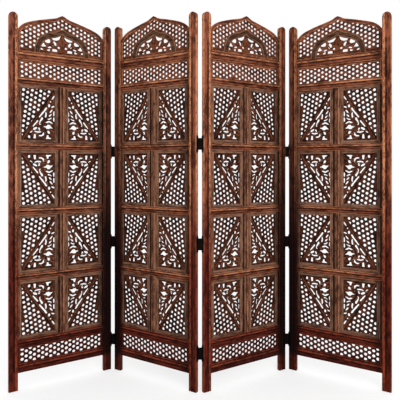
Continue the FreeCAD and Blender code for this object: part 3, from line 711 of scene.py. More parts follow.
sunk_lines = wires.times(wires.ramp(off_line, GROOVE_OUTER, GROOVE_INNER), given["Groove depth"])
eased = wires.times(wires.ramp(wires.size(side), EDGE_FROM, 1.0), given["Ease"])
sunk = wires.plus(sunk_lines, eased)
flat = wires.calc("GREATER_THAN", wires.size(tall), FLAT_FROM)
raised = wires.minus(wires.over(given["Thickness"], 2.0), wires.times(sunk, flat))
print("section made with", len(strip_tree.nodes), "nodes")

# %% [markdown]
# The section's points carry their groove and worn marks before it is swept. They could be marked after
# the sweep, but then each point would have to be matched to its place in the section again.

# %% Strip tree: sweep
FULL_GROOVE = 0.0015
WORN_FROM = 0.7
section = wires.store(ring, "groove", wires.times(flat, wires.over(sunk_lines, FULL_GROOVE), clamp=True))
section = wires.store(section, "worn", wires.ramp(wires.size(side), WORN_FROM, 1.0))
section = wires.first("GeometryNodeSetPosition", {
    "Geometry": section, "Position": wires.vector(
        wires.times(side, wires.over(given["Width"], 2.0)), wires.times(tall, raised), 0.0)})
strip = wires.first("GeometryNodeCurveToMesh", {"Curve": path, "Profile Curve": section, "Fill Caps": True})
wires.finish(strip, given["Material"], result)
print("strip tree", len(strip_tree.nodes), "nodes")

# %% [markdown]
# The leaves of the vine and of the palmette stand up from the board. Each is a pointed oval with a cut
# along its middle and two rounded halves, on both faces of the board, because the carver works both.
# Sculpting each of them would take long and many faces. So one leaf is shaped from a small grid by a
# rule: its belly is a sine, and the hump of each half is a soft step.

# %% Leaf tree: one leaf
LEAF_POINTS_LONG = 9
LEAF_POINTS_WIDE = 7
BELLY_AT = 0.8
BELLY_FULL = 0.75
CUT_REACH, CUT_LEVEL = 0.4, 0.25
ROUND_FROM = 0.6
HUMP_HIGH, HUMP_LOW = 0.5, 0.1
leaf_tree, wires, given, result = new_tree(
    "carved leaves", "GeometryNodeTree",
    [("Geometry", GEOMETRY, None), ("Thickness", FLOAT, 0.006), ("Relief", FLOAT, 0.0022),
     ("Material", MATERIAL, None)],
    [("Geometry", GEOMETRY)])
blank = wires.first("GeometryNodeMeshCube", {
    "Size": (1.0, 1.0, 1.0), "Vertices X": LEAF_POINTS_LONG, "Vertices Y": LEAF_POINTS_WIDE, "Vertices Z": 2})
here = wires.split(wires.first("GeometryNodeInputPosition"))
travel = wires.plus(here[0], 0.5)
belly = wires.calc("SINE", wires.times(wires.calc("POWER", travel, BELLY_AT), math.pi))
belly = wires.calc("POWER", wires.larger(belly, 0.0), BELLY_FULL)
aside = wires.times(wires.size(here[1]), 2.0)
hump = wires.times(wires.ramp(aside, 0.0, CUT_REACH, CUT_LEVEL, 1.0), wires.ramp(aside, 1.0, ROUND_FROM))
hump = wires.times(hump, wires.ramp(belly, 0.0, 0.5))
rise = wires.plus(wires.over(given["Thickness"], 2.0), wires.times(hump, given["Relief"]))
# The crown of each half is rubbed. Its low parts get the groove mark: stain that pools there, and painted
# shade at the leaf's edges and along its cut.
leaf = wires.store(blank, "worn", wires.ramp(hump, HUMP_HIGH, 1.0))
leaf = wires.store(leaf, "groove", wires.times(wires.ramp(hump, HUMP_HIGH, HUMP_LOW), 0.8))
leaf = wires.first("GeometryNodeSetPosition", {
    "Geometry": leaf, "Position": wires.vector(
        here[0], wires.times(here[1], belly), wires.times(wires.calc("SIGN", here[2]), rise))})
print("leaf made with", len(leaf_tree.nodes), "nodes")


# %% [markdown]
# A vine has some thirty leaves of many sizes. They could be copied and turned by hand. The tree does it
# from a list: the mesh that it starts from is one point for each leaf, which carries its length, width
# and turn.

# %% Leaf tree: one leaf at each place
def carried(label):
    """A number that each place of a leaf carries."""
    return wires.first("GeometryNodeInputNamedAttribute", {"Name": label}, data_type="FLOAT")


places = wires.first("GeometryNodeMeshToPoints", {"Mesh": given["Geometry"]})
leaves = wires.first("GeometryNodeInstanceOnPoints", {
    "Points": places, "Instance": leaf, "Rotation": wires.vector(0.0, 0.0, carried("turn")),
    "Scale": wires.vector(carried("long"), carried("wide"), 1.0)})
wires.finish(leaves, given["Material"], result)
print("leaf tree", len(leaf_tree.nodes), "nodes")


# %% [markdown]
# A tree needs an object to run on. It could stay there as a live modifier, but then its sizes could
# change later. So the tree is given its inputs, run once, and its result is kept as a plain mesh with
# one material.

# %% Running a tree
def run(tree, name, values, start=None):
    """Runs a tree with these inputs, on a starting mesh or an empty one, and hands back a plain mesh."""
    holder = bpy.data.objects.new(name, start or bpy.data.meshes.new(name))
    scene.collection.objects.link(holder)
    modifier = holder.modifiers.new(name, "NODES")
    modifier.node_group = tree
    inputs = {item.name: item.identifier for item in tree.interface.items_tree if item.in_out == "INPUT"}
    for label, value in values.items():
        modifier[inputs[label]] = value
    shown = holder.evaluated_get(bpy.context.evaluated_depsgraph_get())
    mesh = bpy.data.meshes.new_from_object(shown)
    holder.modifiers.clear()
    bpy.data.objects.remove(holder)
    finish = [material for material in mesh.materials if material]
    mesh.materials.clear()
    mesh.materials.append(finish[0])
    mesh.polygons.foreach_set("material_index", [0] * len(mesh.polygons))
    return mesh


print("ready to run trees")


# %% [markdown]
# Outlines, openings and paths are curves, as a fretworker draws them on the board. They could be drawn
# as meshes with many points, but a curve needs few. A point with a third value is a sharp corner, and
# the others are smooth. Points are written in millimetres.

# %% Drawing lines
def drawn(name, loops, closed=True):
    """A flat curve object from loops of (x, y) or (x, y, sharp) points in millimetres."""
    data = bpy.data.curves.new(name, "CURVE")
    data.dimensions = "3D"
    data.resolution_u = 4
    for loop in loops:
        spline = data.splines.new("BEZIER")
        spline.bezier_points.add(len(loop) - 1)
        for point, spot in zip(spline.bezier_points, loop):
            point.co = (spot[0] * MM, spot[1] * MM, 0.0)
            point.handle_left_type = point.handle_right_type = "VECTOR" if len(spot) > 2 else "AUTO"
        spline.use_cyclic_u = closed
    holder = bpy.data.objects.new(name, data)
    scene.collection.objects.link(holder)
    return holder


def turned_right(loops):
    """The same loops, each one running anticlockwise."""
    done = []
    for loop in loops:
        around = sum(a[0] * b[1] - b[0] * a[1] for a, b in zip(loop, loop[1:] + loop[:1]))
        done.append(loop if around > 0 else loop[::-1])
    return done


def rectangle(left, bottom, right, top):
    """The four sharp corners of a rectangle."""
    return [(left, bottom, 1), (right, bottom, 1), (right, top, 1), (left, top, 1)]


print("ready to draw")


# %% [markdown]
# Each leaf's place, length, width and turn is carried by one point. Objects could stand for them, but
# a mesh of points is lighter, and the leaf tree reads its attributes at once.

# %% Places of leaves
def leaf_places(leaves):
    """A mesh of single points that carry each leaf's length, width and turn. Sizes in millimetres."""
    mesh = bpy.data.meshes.new("leaf places")
    mesh.from_pydata([(x * MM, y * MM, 0) for x, y, *rest in leaves], [], [])
    marks = (("long", [leaf[2] * MM for leaf in leaves]), ("wide", [leaf[3] * MM for leaf in leaves]),
             ("turn", [math.radians(leaf[4]) for leaf in leaves]))
    for label, values in marks:
        mesh.attributes.new(label, "FLOAT", "POINT").data.foreach_set("value", values)
    return mesh


print("ready to place leaves")


# %% [markdown]
# A swept or filled mesh can come out with faces that look inwards, which would bake dark. They could be
# turned one by one, but Blender can turn them all outwards. Then flat faces meet in crisp edges, and
# round walls are shaded smooth: an edge stays sharp where it turns by more than a set angle.

# %% Clean faces
SHARP_FROM = math.radians(32)


def tidy_normals(mesh):
    """Makes every face look outwards and shades round walls smooth."""
    work = bmesh.new()
    work.from_mesh(mesh)
    bmesh.ops.recalc_face_normals(work, faces=work.faces)
    work.to_mesh(mesh)
    work.free()
    mesh.shade_smooth()
    mesh.set_sharp_from_angle(angle=SHARP_FROM)
    return mesh


print("edges are sharp from", round(math.degrees(SHARP_FROM)), "degrees")


# %% [markdown]
# Each kind of piece is made by running its tree and cleaning its faces. This could be written out for
# every piece, but a short form for each craft keeps the cells below about sizes alone. The names of a
# tree's inputs are written with underscores there, because a keyword can't have spaces.

# %% Crafts
def made(tree, name, sizes, start=None):
    """A clean piece from a tree, with its sizes named by keywords."""
    inputs = {keyword.replace("_", " "): value for keyword, value in sizes.items()}
    return tidy_normals(run(tree, name, inputs, start))


def carve_stick(name, **sizes):
    return made(stick_tree, name, sizes)


def drill_board(name, **sizes):
    return made(board_tree, name, sizes)


def sweep_strip(name, **sizes):
    return made(strip_tree, name, sizes)


def carve_leaves(name, leaves, relief):
    """Leaves that are raised on both faces of a board, by a relief in millimetres."""
    sizes = {"Thickness": BOARD_THICKNESS, "Relief": relief * MM, "Material": lattice_wood}
    return made(leaf_tree, name, sizes, leaf_places(leaves))


print("ready to carve, drill and sweep")


# %% [markdown]
# A joiner makes a kit for each panel and then puts it together. The script does so too. Each carved
# piece could be made again for every panel, but the four are alike. So a piece is made once, laid in
# the panel's own frame, and filed under the solid that it dresses.

# %% Kit of one panel
UPRIGHT = Matrix(((1, 0, 0, 0), (0, 0, -1, 0), (0, 1, 0, 0), (0, 0, 0, 1)))
LYING = Matrix(((0, 0, 1, 0), (0, 1, 0, 0), (-1, 0, 0, 0), (0, 0, 0, 1)))
ACROSS, UP = 0, 2


def at(across=0.0, back=0.0, up=0.0):
    """A place in the panel's frame."""
    return Matrix.Translation((across, back, up))


class Kit:
    """The pieces of one panel: what each solid is dressed with, in the panel's own frame."""

    def __init__(self):
        self.pieces = {}

    def add(self, node, mesh, place, grain, mirror=False):
        """Lays a copy of the mesh at a place, for one solid. Its grain runs ACROSS or UP."""
        copy = mesh.copy()
        copy.transform(place)
        if mirror:
            copy.flip_normals()
        self.pieces.setdefault(node, []).append((copy, grain))


kit = Kit()
print("kit ready")

# %% [markdown]
# Each post is one stick from the floor to its rounded top. The groove lies a little towards the inside of
# the panel, with a worn ridge beside it, and stops above the leg. The right post could be the left one
# mirrored, but a mirrored mesh is inside out until it is mended. So both are made by the stick tree, and
# only the places of groove and ridge change sides.

# %% Posts
POST_GROOVE = 0.14
POST_RIDGE = 0.58
POST_PLAIN_TOP = 120 * MM
for side, middle, inwards in (("left", POST_WIDTH / 2, 1), ("right", PANEL_WIDTH - POST_WIDTH / 2, -1)):
    post = carve_stick(
        "post", Length=POST_HEIGHT, Width=POST_WIDTH, Thickness=POST_THICKNESS, Groove_width=10 * MM,
        Groove_depth=2.2 * MM, Scallop_pitch=13 * MM, Groove_place=POST_GROOVE * inwards,
        Ridge_place=POST_RIDGE * inwards, Line_depth=0.1 * MM, Ease=2.0 * MM, Plain_start=LEG_HEIGHT,
        Plain_end=POST_PLAIN_TOP, Round_top=POST_WIDTH / 2, Step=5 * MM, Across=19, Material=frame_wood)
    kit.add(f"{side}_post", post, at(middle), UP)
print("post faces", len(post.polygons))

# %% [markdown]
# Seven rails run between the posts: four heavy ones of the frame and three lighter ones between the rows
# of inserts. They could be one cut-out sheet with the posts, but real ones are sticks let in between
# them, and their grain runs across. So each is a stick of its own, laid down, with a deep dark line
# along both edges. The rails between the rows are rubbed less.

# %% Rails
FRAME_RAIL_WEAR = 0.8
ROW_RAIL_WEAR = 0.65
row_rails = tuple((ROW_1_BASE - ROW_RAIL_HEIGHT - ROW_STEP * n, ROW_RAIL_HEIGHT) for n in range(3))
rail_sets = (("frame_rails", FRAME_RAIL_WEAR, (FOOT_RAIL, LOWER_RAIL, BAND_RAIL, CROWN_RAIL)),
             ("row_rails", ROW_RAIL_WEAR, row_rails))
for node, wear, rails in rail_sets:
    for base, height in rails:
        rail = carve_stick(
            "rail", Length=INSIDE, Width=height, Thickness=RAIL_THICKNESS, Groove_width=9 * MM,
            Groove_depth=2.0 * MM, Scallop_pitch=11 * MM, Line_place=0.76, Line_depth=1.4 * MM,
            Ridge_place=-0.42, Ridge_wear=wear, Ease=1.4 * MM, Across=21, Material=frame_wood)
        kit.add(node, rail, at(POST_WIDTH, 0, base + height / 2) @ LYING, ACROSS)
print("rails", sum(len(rails) for node, wear, rails in rail_sets))

# %% [markdown]
# A mullion parts the two inserts of each row. One long mullion could run down the whole panel, but then
# it would have to cross the rails. So there is one in each row.

# %% Mullions
mullion = carve_stick(
    "mullion", Length=INSERT_HEIGHT, Width=MULLION_WIDTH, Thickness=MULLION_THICKNESS, Groove_width=6 * MM,
    Groove_depth=1.8 * MM, Scallop_pitch=10 * MM, Line_depth=0.4 * MM, Across=15, Material=mullion_wood)
row_bases = [ROW_1_BASE - ROW_STEP * n for n in range(4)]
for base in row_bases:
    kit.add("mullions", mullion, at(MIDDLE, 0, base), UP)
print("mullion faces", len(mullion.polygons))

# %% [markdown]
# A board is cut a little short, so that it can swell without pushing the posts apart. That leaves a gap
# beside the right post, which lies in shade. It could be left open, but then the white room would shine
# through. So a thin black strip closes it, a little behind the face of the wood: its black is painted shadow.

# %% Painted shadow in the gaps
SHADOW_GAP = 5 * MM
RIGHT_EDGE = PANEL_WIDTH - POST_WIDTH


def shadow_strip(name, length, width, thickness, groove=0.1 * MM, across=3):
    """A plain black strip that closes a gap, painted black for the shadow in it."""
    return carve_stick(
        name, Length=length, Width=width, Thickness=thickness, Groove_depth=groove, Across=across,
        Step=30 * MM, Material=shadow_wood)


print("dark edges are", round(SHADOW_GAP / MM), "mm wide")

# %% [markdown]
# The two bands are plain drilled boards let in between rails. A narrow slip covers their ends and their
# top edge, as the joiner nails one on to hold the board. A slip could be part of the board's outline,
# but it stands up from it and has its own grain, so it is three small sticks.

# %% Bands
SLIP_WIDTH = 10 * MM
HOLE_CHAMFER = 1.6 * MM
COLUMN_PITCH = 19.2 * MM
FIRST_COLUMN = 62 * MM
BAND_EDGE, BAND_FOOT, BAND_HEAD = 12, 4, 8
nothing = drawn("no openings", [])
slip_sizes = {"Thickness": 12 * MM, "Width": SLIP_WIDTH, "Groove_depth": 0.6 * MM, "Groove_width": 3 * MM,
              "Across": 9, "Material": frame_wood}


def band(node, base, height, first_row, row_pitch, hole):
    """A drilled band board and its slips. All its sizes are in millimetres."""
    left, right = POST_WIDTH / MM, RIGHT_EDGE / MM
    outline = drawn("band outline", [rectangle(left, base, right, base + height)])
    area = drawn("band area", [rectangle(left + BAND_EDGE, base + BAND_FOOT, right - BAND_EDGE,
                                         base + height - BAND_HEAD)])
    drilled_board = drill_board(
        node, Outline=outline, Openings=nothing, Drilled_area=area, Thickness=BOARD_THICKNESS,
        First_hole=(FIRST_COLUMN, first_row * MM, 0), Hole_diameter=hole * MM, Column_pitch=COLUMN_PITCH,
        Row_pitch=row_pitch * MM, Chamfer=HOLE_CHAMFER, Material=band_wood)
    kit.add(node, drilled_board, UPRIGHT, ACROSS)
    # A black strip in the gap beside the right post is painted shadow.
    edge = shadow_strip("dark edge", height * MM, SHADOW_GAP, BOARD_THICKNESS + 0.8 * MM)
    kit.add(node, edge, at(RIGHT_EDGE - SHADOW_GAP / 2, 0, base * MM), UP)
    upright = carve_stick("upright slip", **slip_sizes, Length=height * MM)
    for middle in (POST_WIDTH + SLIP_WIDTH / 2, RIGHT_EDGE - SHADOW_GAP - SLIP_WIDTH / 2):
        kit.add(node, upright, at(middle, 0, base * MM), UP)
    level = carve_stick("level slip", **slip_sizes, Length=INSIDE - 2 * SLIP_WIDTH - SHADOW_GAP)
    top = (base + height) * MM - SLIP_WIDTH / 2
    kit.add(node, level, at(POST_WIDTH + SLIP_WIDTH, 0, top) @ LYING, ACROSS)
    return drilled_board


top_band = band("top_band", 1505, 83, first_row=1532, row_pitch=22.5, hole=13)
bottom_band = band("bottom_band", 125, 80, first_row=144, row_pitch=24, hole=15)
print("band faces", len(top_band.polygons), len(bottom_band.polygons))

# %% [markdown]
# The crown is a board with an ogee top: it rises from a shoulder at each post, swells and then sweeps up
# to a point. A pointed arch in its middle frames a palmette, and the field around it is drilled. Its
# lines could be built from arcs, but a sawyer follows a drawn line. So the left half of each line is a
# few points, and its right half is the same line mirrored.

# %% Crown: lines
CROWN_BASE = 1630
BORDER_WIDTH = 16
PANEL_MM = PANEL_WIDTH / MM
LEFT_EDGE_MM, RIGHT_EDGE_MM = POST_WIDTH / MM, RIGHT_EDGE / MM
OGEE = [(42, 1730), (66, 1758), (90, 1773), (123, 1785), (157, 1795), (190, 1804), (223, 1813),
        (254, 1829, 1)]
ARCH = [(131, 1630), (134, 1656), (149, 1693), (186, 1720), (224, 1732), (254, 1748, 1)]
AROUND_ARCH = [(124, 1650, 1), (130, 1680), (155, 1716), (198, 1740), (254, 1758, 1)]


def mirrored(loops):
    """The loops and their mirror images across the panel's middle."""
    flipped = [[(PANEL_MM - spot[0], *spot[1:]) for spot in loop][::-1] for loop in loops]
    return loops + flipped


def both_sides(half_line):
    """A line from the left end to the middle and on, mirrored, to the right end."""
    return half_line + [(PANEL_MM - spot[0], *spot[1:]) for spot in half_line[-2::-1]]


crown_top = both_sides(OGEE)
print("points on the ogee", len(crown_top))

# %% [markdown]
# The palmette stands for a palm leaf: a tall bud with leaves that fan out and bend down to both sides.
# It could be a separate carving set into the arch, but it is cut from the same board. So the light
# between its leaves is sawn out as openings, and the leaves are raised on what is left.

# %% Crown: palmette
# Each leaf: middle across and up, length, width and turn. The first two stand on the middle line.
PALMETTE_LEAVES = [
    (254, 1709, 46, 15, 90), (254, 1668, 48, 12, 90), (239, 1687, 34, 9, 112), (205, 1689, 32, 9, 122),
    (198, 1675, 38, 8, 158), (172, 1658, 32, 7, 168), (197, 1652, 12, 6, 95), (171, 1652, 12, 5, 110),
    (242, 1655, 26, 8, 150), (226, 1663, 22, 6, 165), (230, 1698, 14, 6, 150),
]
PALMETTE = [
    [(201, 1711, 1), (209, 1703, 1), (222, 1702), (233, 1705, 1), (241, 1713, 1), (247, 1731, 1),
     (232, 1725), (213, 1719)],
    [(169, 1691), (178, 1700), (188, 1707, 1), (194, 1701), (194, 1690), (188, 1685, 1), (178, 1686)],
    [(152, 1665, 1), (157, 1677), (164, 1685, 1), (168, 1676), (176, 1668, 1), (165, 1665)],
    [(211, 1697), (217, 1696), (224, 1678), (218, 1677)],
    [(230, 1667), (236, 1673), (242, 1667), (236, 1662)],
    [(183, 1662), (190, 1668), (200, 1667), (192, 1661)],
    [(204, 1677), (209, 1678), (215, 1671), (209, 1670)],
    [(147, 1654), (153, 1656), (160, 1650), (152, 1648)],
    [(179, 1651), (186, 1657), (194, 1652), (186, 1646)],
    [(205, 1646, 1), (204, 1657, 1), (217, 1659), (228, 1657, 1), (229, 1646, 1)],
]


palmette_leaves = PALMETTE_LEAVES + [(PANEL_MM - x, y, long, wide, 180 - turn)
                                     for x, y, long, wide, turn in PALMETTE_LEAVES[2:]]
print("leaves on the palmette", len(palmette_leaves))

# %% [markdown]
# The board of the crown is drilled like the bands, but only between the arch and the border. That field
# could be two separate areas. One is enough: its line runs along the base, up over the arch, down again,
# and back below the ogee.

# %% Crown: board
BORDER_GAP = 9
crown_outline = drawn("crown outline", turned_right([
    [(LEFT_EDGE_MM, CROWN_BASE, 1), (RIGHT_EDGE_MM, CROWN_BASE, 1)] + crown_top[::-1]]))
field = [(54, 1650, 1)] + both_sides(AROUND_ARCH)
field += [(454, 1650, 1), (454, 1730)] + [(x, y - BORDER_GAP, *sharp) for x, y, *sharp in crown_top[-2:0:-1]]
field += [(54, 1730)]
crown_area = drawn("crown area", turned_right([field]))
crown_cuts = drawn("palmette", turned_right(mirrored(PALMETTE)))
crown = drill_board(
    "crown", Outline=crown_outline, Openings=crown_cuts, Drilled_area=crown_area,
    First_hole=(FIRST_COLUMN, 1655 * MM, 0), Hole_diameter=12.6 * MM, Column_pitch=COLUMN_PITCH,
    Row_pitch=21.5 * MM, Thickness=BOARD_THICKNESS, Chamfer=HOLE_CHAMFER, Material=band_wood)
kit.add("crown", crown, UPRIGHT, ACROSS)
print("crown faces", len(crown.polygons))

# %% [markdown]
# Trim covers the board's edges: a short cheek at each post, and a border that follows the ogee. The
# cheeks are sticks. The border could be bent from a stick too, but wood of that thickness doesn't bend so
# far. It is sawn to the curve, so it is swept along the ogee, half its width below it.

# %% Crown: cheeks and border
CHEEK_HEIGHT = 92 * MM
CHEEK_WIDTH = 11 * MM
# A black strip in the gap beside the right post is painted shadow.
crown_gap_shadow = shadow_strip("dark edge", CHEEK_HEIGHT, SHADOW_GAP, 16.4 * MM)
kit.add("crown", crown_gap_shadow, at(RIGHT_EDGE - SHADOW_GAP / 2, 0, CROWN_BASE * MM), UP)
cheek = carve_stick(
    "crown cheek", Length=CHEEK_HEIGHT, Width=CHEEK_WIDTH, Thickness=14 * MM, Groove_depth=0.4 * MM,
    Groove_width=3 * MM, Line_depth=0.2 * MM, Across=9, Material=frame_wood)
for middle in (POST_WIDTH + CHEEK_WIDTH / 2, RIGHT_EDGE - SHADOW_GAP - CHEEK_WIDTH / 2):
    kit.add("crown", cheek, at(middle, 0, CROWN_BASE * MM), UP)
border_line = [(x, y - BORDER_WIDTH / 2, *sharp) for x, y, *sharp in crown_top]
border = sweep_strip(
    "crown border", Path=drawn("border path", [border_line], closed=False), Width=BORDER_WIDTH * MM,
    Thickness=16 * MM, Groove_depth=0.1 * MM, Material=frame_wood)
kit.add("crown", border, UPRIGHT, ACROSS)
print("border faces", len(border.polygons))

# %% [markdown]
# The leaves of the palmette are raised on their board, and the arch round them is a broad moulding in a
# browner stain. It could be built from two mitred halves, but one sweep along the whole line gives a clean
# point at the top. Last comes the stick that the crown stands on. It covers the lower edge of the board
# and the feet of the arch, and hides the joint with the rail.

# %% Crown: palmette, arch and base
ARCH_WIDTH = 27 * MM
BASE_HEIGHT = 14
palmette = carve_leaves("palmette", palmette_leaves, relief=2.4)
kit.add("crown", palmette, UPRIGHT, ACROSS)
arch = sweep_strip(
    "arch", Path=drawn("arch path", [both_sides(ARCH)], closed=False), Width=ARCH_WIDTH,
    Thickness=15 * MM, Material=arch_wood)
kit.add("crown", arch, UPRIGHT, ACROSS)
base_stick = carve_stick(
    "crown base", Length=INSIDE - SHADOW_GAP, Width=BASE_HEIGHT * MM, Thickness=12 * MM,
    Groove_depth=0.6 * MM, Groove_width=4 * MM, Line_depth=0.2 * MM, Across=9, Material=band_wood)
kit.add("crown", base_stick, at(POST_WIDTH, 0, (CROWN_BASE + BASE_HEIGHT / 2) * MM) @ LYING, ACROSS)
print("arch faces", len(arch.polygons))

# %% [markdown]
# A carved insert has a rim, a double bar from its outer foot to its inner head, a drilled half above the
# bar and a vine cut through below it. The vine could be modelled leaf by leaf with gaps between. A carver
# works the other way round and saws out the light first. So the vine is a list of openings: narrow slits
# with tapering ends, ovals, and a few with drawn outlines. A saw blade has a width, the kerf, that every
# slit and oval is wider by.

# %% Insert: shapes of openings
KERF = 1.4
CELL_WIDTH = (INSIDE - MULLION_WIDTH) / 2
cell_w, cell_h, rim_w = CELL_WIDTH / MM, INSERT_HEIGHT / MM, INSERT_RIM / MM


def slit(x1, y1, x2, y2, wide):
    """A narrow opening with tapering ends, between two points."""
    length = math.hypot(x2 - x1, y2 - y1)
    ax, ay = (x2 - x1) / length, (y2 - y1) / length
    nx, ny = -ay * (wide + KERF) / 2, ax * (wide + KERF) / 2
    shares = ((0, 0), (0.2, -0.9), (0.6, -1), (1, 0), (0.6, 1), (0.2, 0.9))
    return [(x1 + (x2 - x1) * along + nx * side, y1 + (y2 - y1) * along + ny * side)
            for along, side in shares]


def oval(x, y, wide, high, turn=0):
    """A round or oval opening."""
    c, s = math.cos(math.radians(turn)), math.sin(math.radians(turn))
    turns = (math.pi / 4 * n for n in range(8))
    spots = [((wide + KERF) / 2 * math.cos(a), (high + KERF) / 2 * math.sin(a)) for a in turns]
    return [(x + px * c - py * s, y + px * s + py * c) for px, py in spots]


print("an insert's place is", round(cell_w, 1), "by", round(cell_h, 1), "mm")

# %% [markdown]
# These are the vine's openings, from the head of the insert to its foot, in millimetres from its lower
# left corner. Openings that follow a rule would look printed. A carver sets each one by eye, so they are
# a list of places.

# %% Insert: vine
VINE = [
    slit(100, 129, 138, 179, 5.5), slit(70, 82, 95, 114, 4.5), slit(161, 220, 175, 241, 4.5),
    oval(148, 189, 9, 14), slit(159, 181, 174, 188, 6), oval(155, 209, 5, 6), slit(132, 158, 131, 129, 8),
    slit(151, 154, 164, 170, 5), slit(147, 135, 160, 148, 5), slit(171, 138, 172, 163, 6),
    slit(171, 111, 171, 132, 6), slit(141, 120, 160, 129, 6), slit(103, 92, 116, 130, 10),
    oval(100, 71, 8, 14, 10), slit(71, 68, 91, 79, 8), slit(57, 53, 68, 63, 6), oval(53, 32, 9, 13, 15),
    [(73, 25, 1), (85, 25, 1), (84, 46, 1), (76, 46, 1)],
    oval(145, 58, 10, 19, 30),
    [(129, 104, 1), (138, 110), (148, 113), (158, 109), (168, 100, 1), (157, 102), (148, 106), (140, 103)],
    [(114, 85, 1), (128, 87), (136, 88, 1), (141, 95, 1), (152, 93, 1), (158, 85), (167, 76, 1), (152, 77, 1),
     (146, 73, 1), (135, 73, 1), (131, 80, 1)],
    [(78, 61), (88, 60), (100, 60), (110, 58), (102, 54), (88, 54)],
    [(99, 40), (112, 43), (118, 52), (122, 61), (129, 54), (122, 42), (112, 36), (101, 34)],
    [(131, 24, 1), (160, 24, 1), (153, 30, 1), (147, 32), (145, 42, 1), (137, 42, 1), (135, 32)],
]
# Each leaf: middle across and up, length, width and turn.
LEAVES = [
    (163, 176, 24, 8, 35), (158, 152, 20, 7, 42), (153, 131, 20, 7, 34), (164, 200, 20, 7, 52),
    (139, 168, 30, 8, 70), (142, 202, 28, 8, 62), (124, 140, 34, 9, 74), (113, 108, 30, 8, 60),
    (92, 96, 30, 8, 50), (150, 98, 40, 6, -8), (170, 90, 20, 7, -50), (145, 68, 34, 9, -12),
    (165, 60, 26, 8, -38), (118, 66, 26, 8, 20), (90, 67, 26, 7, 15), (133, 50, 26, 8, 55),
    (108, 30, 24, 9, -25), (90, 47, 26, 7, -6), (66, 43, 24, 8, 65), (124, 28, 20, 8, 20),
    (160, 44, 26, 8, -30), (64, 64, 22, 7, 45), (170, 215, 18, 6, 58), (127, 96, 22, 8, 100),
]
LEAVES += [(171, 27 + 9 * n, 15, 5, 18) for n in range(6)]
STEM = [(128, 18), (126, 50), (118, 75), (126, 104), (142, 134), (147, 160), (157, 190), (168, 222)]
print("openings", len(VINE), "leaves", len(LEAVES))

# %% [markdown]
# The drilled half and the vine are one board, set back in the rim. They could be two boards that meet
# under the bar, but one is stronger and is how such inserts are cut. The board is a little narrower than
# its place and hangs against the left side of it. Leaves and a stem are raised on it.

# %% Insert: field, leaves and stem
SLACK = 9
SET_BACK = 1 * MM
insert_w = cell_w - SLACK
FIELD_BACK = (INSERT_THICKNESS - BOARD_THICKNESS) / 2 - SET_BACK
insert_outline = drawn("insert outline", [rectangle(1, 1, insert_w - 1, cell_h - 1)])
drilled = drawn("insert area", [[(19, 26, 1), (insert_w - 16, cell_h - 9, 1), (19, cell_h - 9, 1)]])
field_board = drill_board(
    "insert field", Outline=insert_outline, Openings=drawn("vine", turned_right(VINE)), Drilled_area=drilled,
    First_hole=(23.5 * MM, 61 * MM, 0), Hole_diameter=13.7 * MM, Column_pitch=20 * MM, Row_pitch=23.3 * MM,
    Lean=math.radians(7), Chamfer=1.8 * MM, Thickness=BOARD_THICKNESS, Material=lattice_wood)
leaves = carve_leaves("vine leaves", LEAVES, relief=2.2)
stem = sweep_strip(
    "stem", Path=drawn("stem path", [STEM], closed=False), Width=4.5 * MM,
    Thickness=BOARD_THICKNESS + 3 * MM, Groove_depth=0.3 * MM, Material=lattice_wood)
print("insert faces", len(field_board.polygons))

# %% [markdown]
# The rim is four mitred sticks with a shallow groove, and the bar is one stick with a deep straight
# groove, which makes it look double. Two bars side by side would do as well, but the real one is one
# piece, ploughed down its middle. It runs from corner to corner inside the rim.

# %% Insert: rim and bar
BAR_OVERLAP = 8
rim = {"Width": INSERT_RIM, "Thickness": INSERT_THICKNESS, "Groove_depth": 0.7 * MM, "Groove_width": 3 * MM,
       "Groove_stain": 0.3, "Scallop_pitch": 9 * MM, "Line_depth": 0.3 * MM, "Mitre": 1.0, "Across": 11,
       "Step": 6 * MM, "Material": insert_wood}
side_rim = carve_stick("side rim", **rim, Length=INSERT_HEIGHT)
end_rim = carve_stick("end rim", **rim, Length=insert_w * MM)
bar_across, bar_up = insert_w - 2 * rim_w, cell_h - 2 * rim_w
bar_turn = math.atan2(bar_across, bar_up)
bar = carve_stick(
    "bar", Length=(math.hypot(bar_across, bar_up) + BAR_OVERLAP) * MM, Width=14 * MM, Thickness=11 * MM,
    Groove_depth=2 * MM, Groove_width=5 * MM, Scallop_pitch=900 * MM, Line_place=0.8, Across=11,
    Step=8 * MM, Material=lattice_wood)
print("bar turned by", round(math.degrees(bar_turn), 1), "degrees")

# %% [markdown]
# Two shadows belong to an insert as well: the shade in the slack beside it, and the shade inside its left
# rim. As at the crown and the bands, they are painted: black strips a little behind the face stand for them.

# %% Insert: painted shadows
LIP_BEHIND = 1.2 * MM
RIM_SHADOW_WIDTH = 4 * MM
lip_thickness = INSERT_THICKNESS - LIP_BEHIND
# The strip in the slack is painted shadow: black, and nearly flush with the face.
lip = shadow_strip("lip", INSERT_HEIGHT, (SLACK + 1) * MM, lip_thickness, 0.2 * MM, 5)
rim_shadow = shadow_strip("rim shadow", (cell_h - 2 * rim_w) * MM, RIM_SHADOW_WIDTH, BOARD_THICKNESS + 0.6 * MM)
print("lip is", round(lip_thickness / MM, 1), "mm thick")

# %% [markdown]
# The right insert of a pair is the mirror image of the left one, and every second row hangs upside down.
# Four kinds could be carved, but one will do: it is laid in its place through a mirror or a turn. A
# mirror turns a mesh inside out, which shows as a negative determinant, and then its normals are flipped
# back.

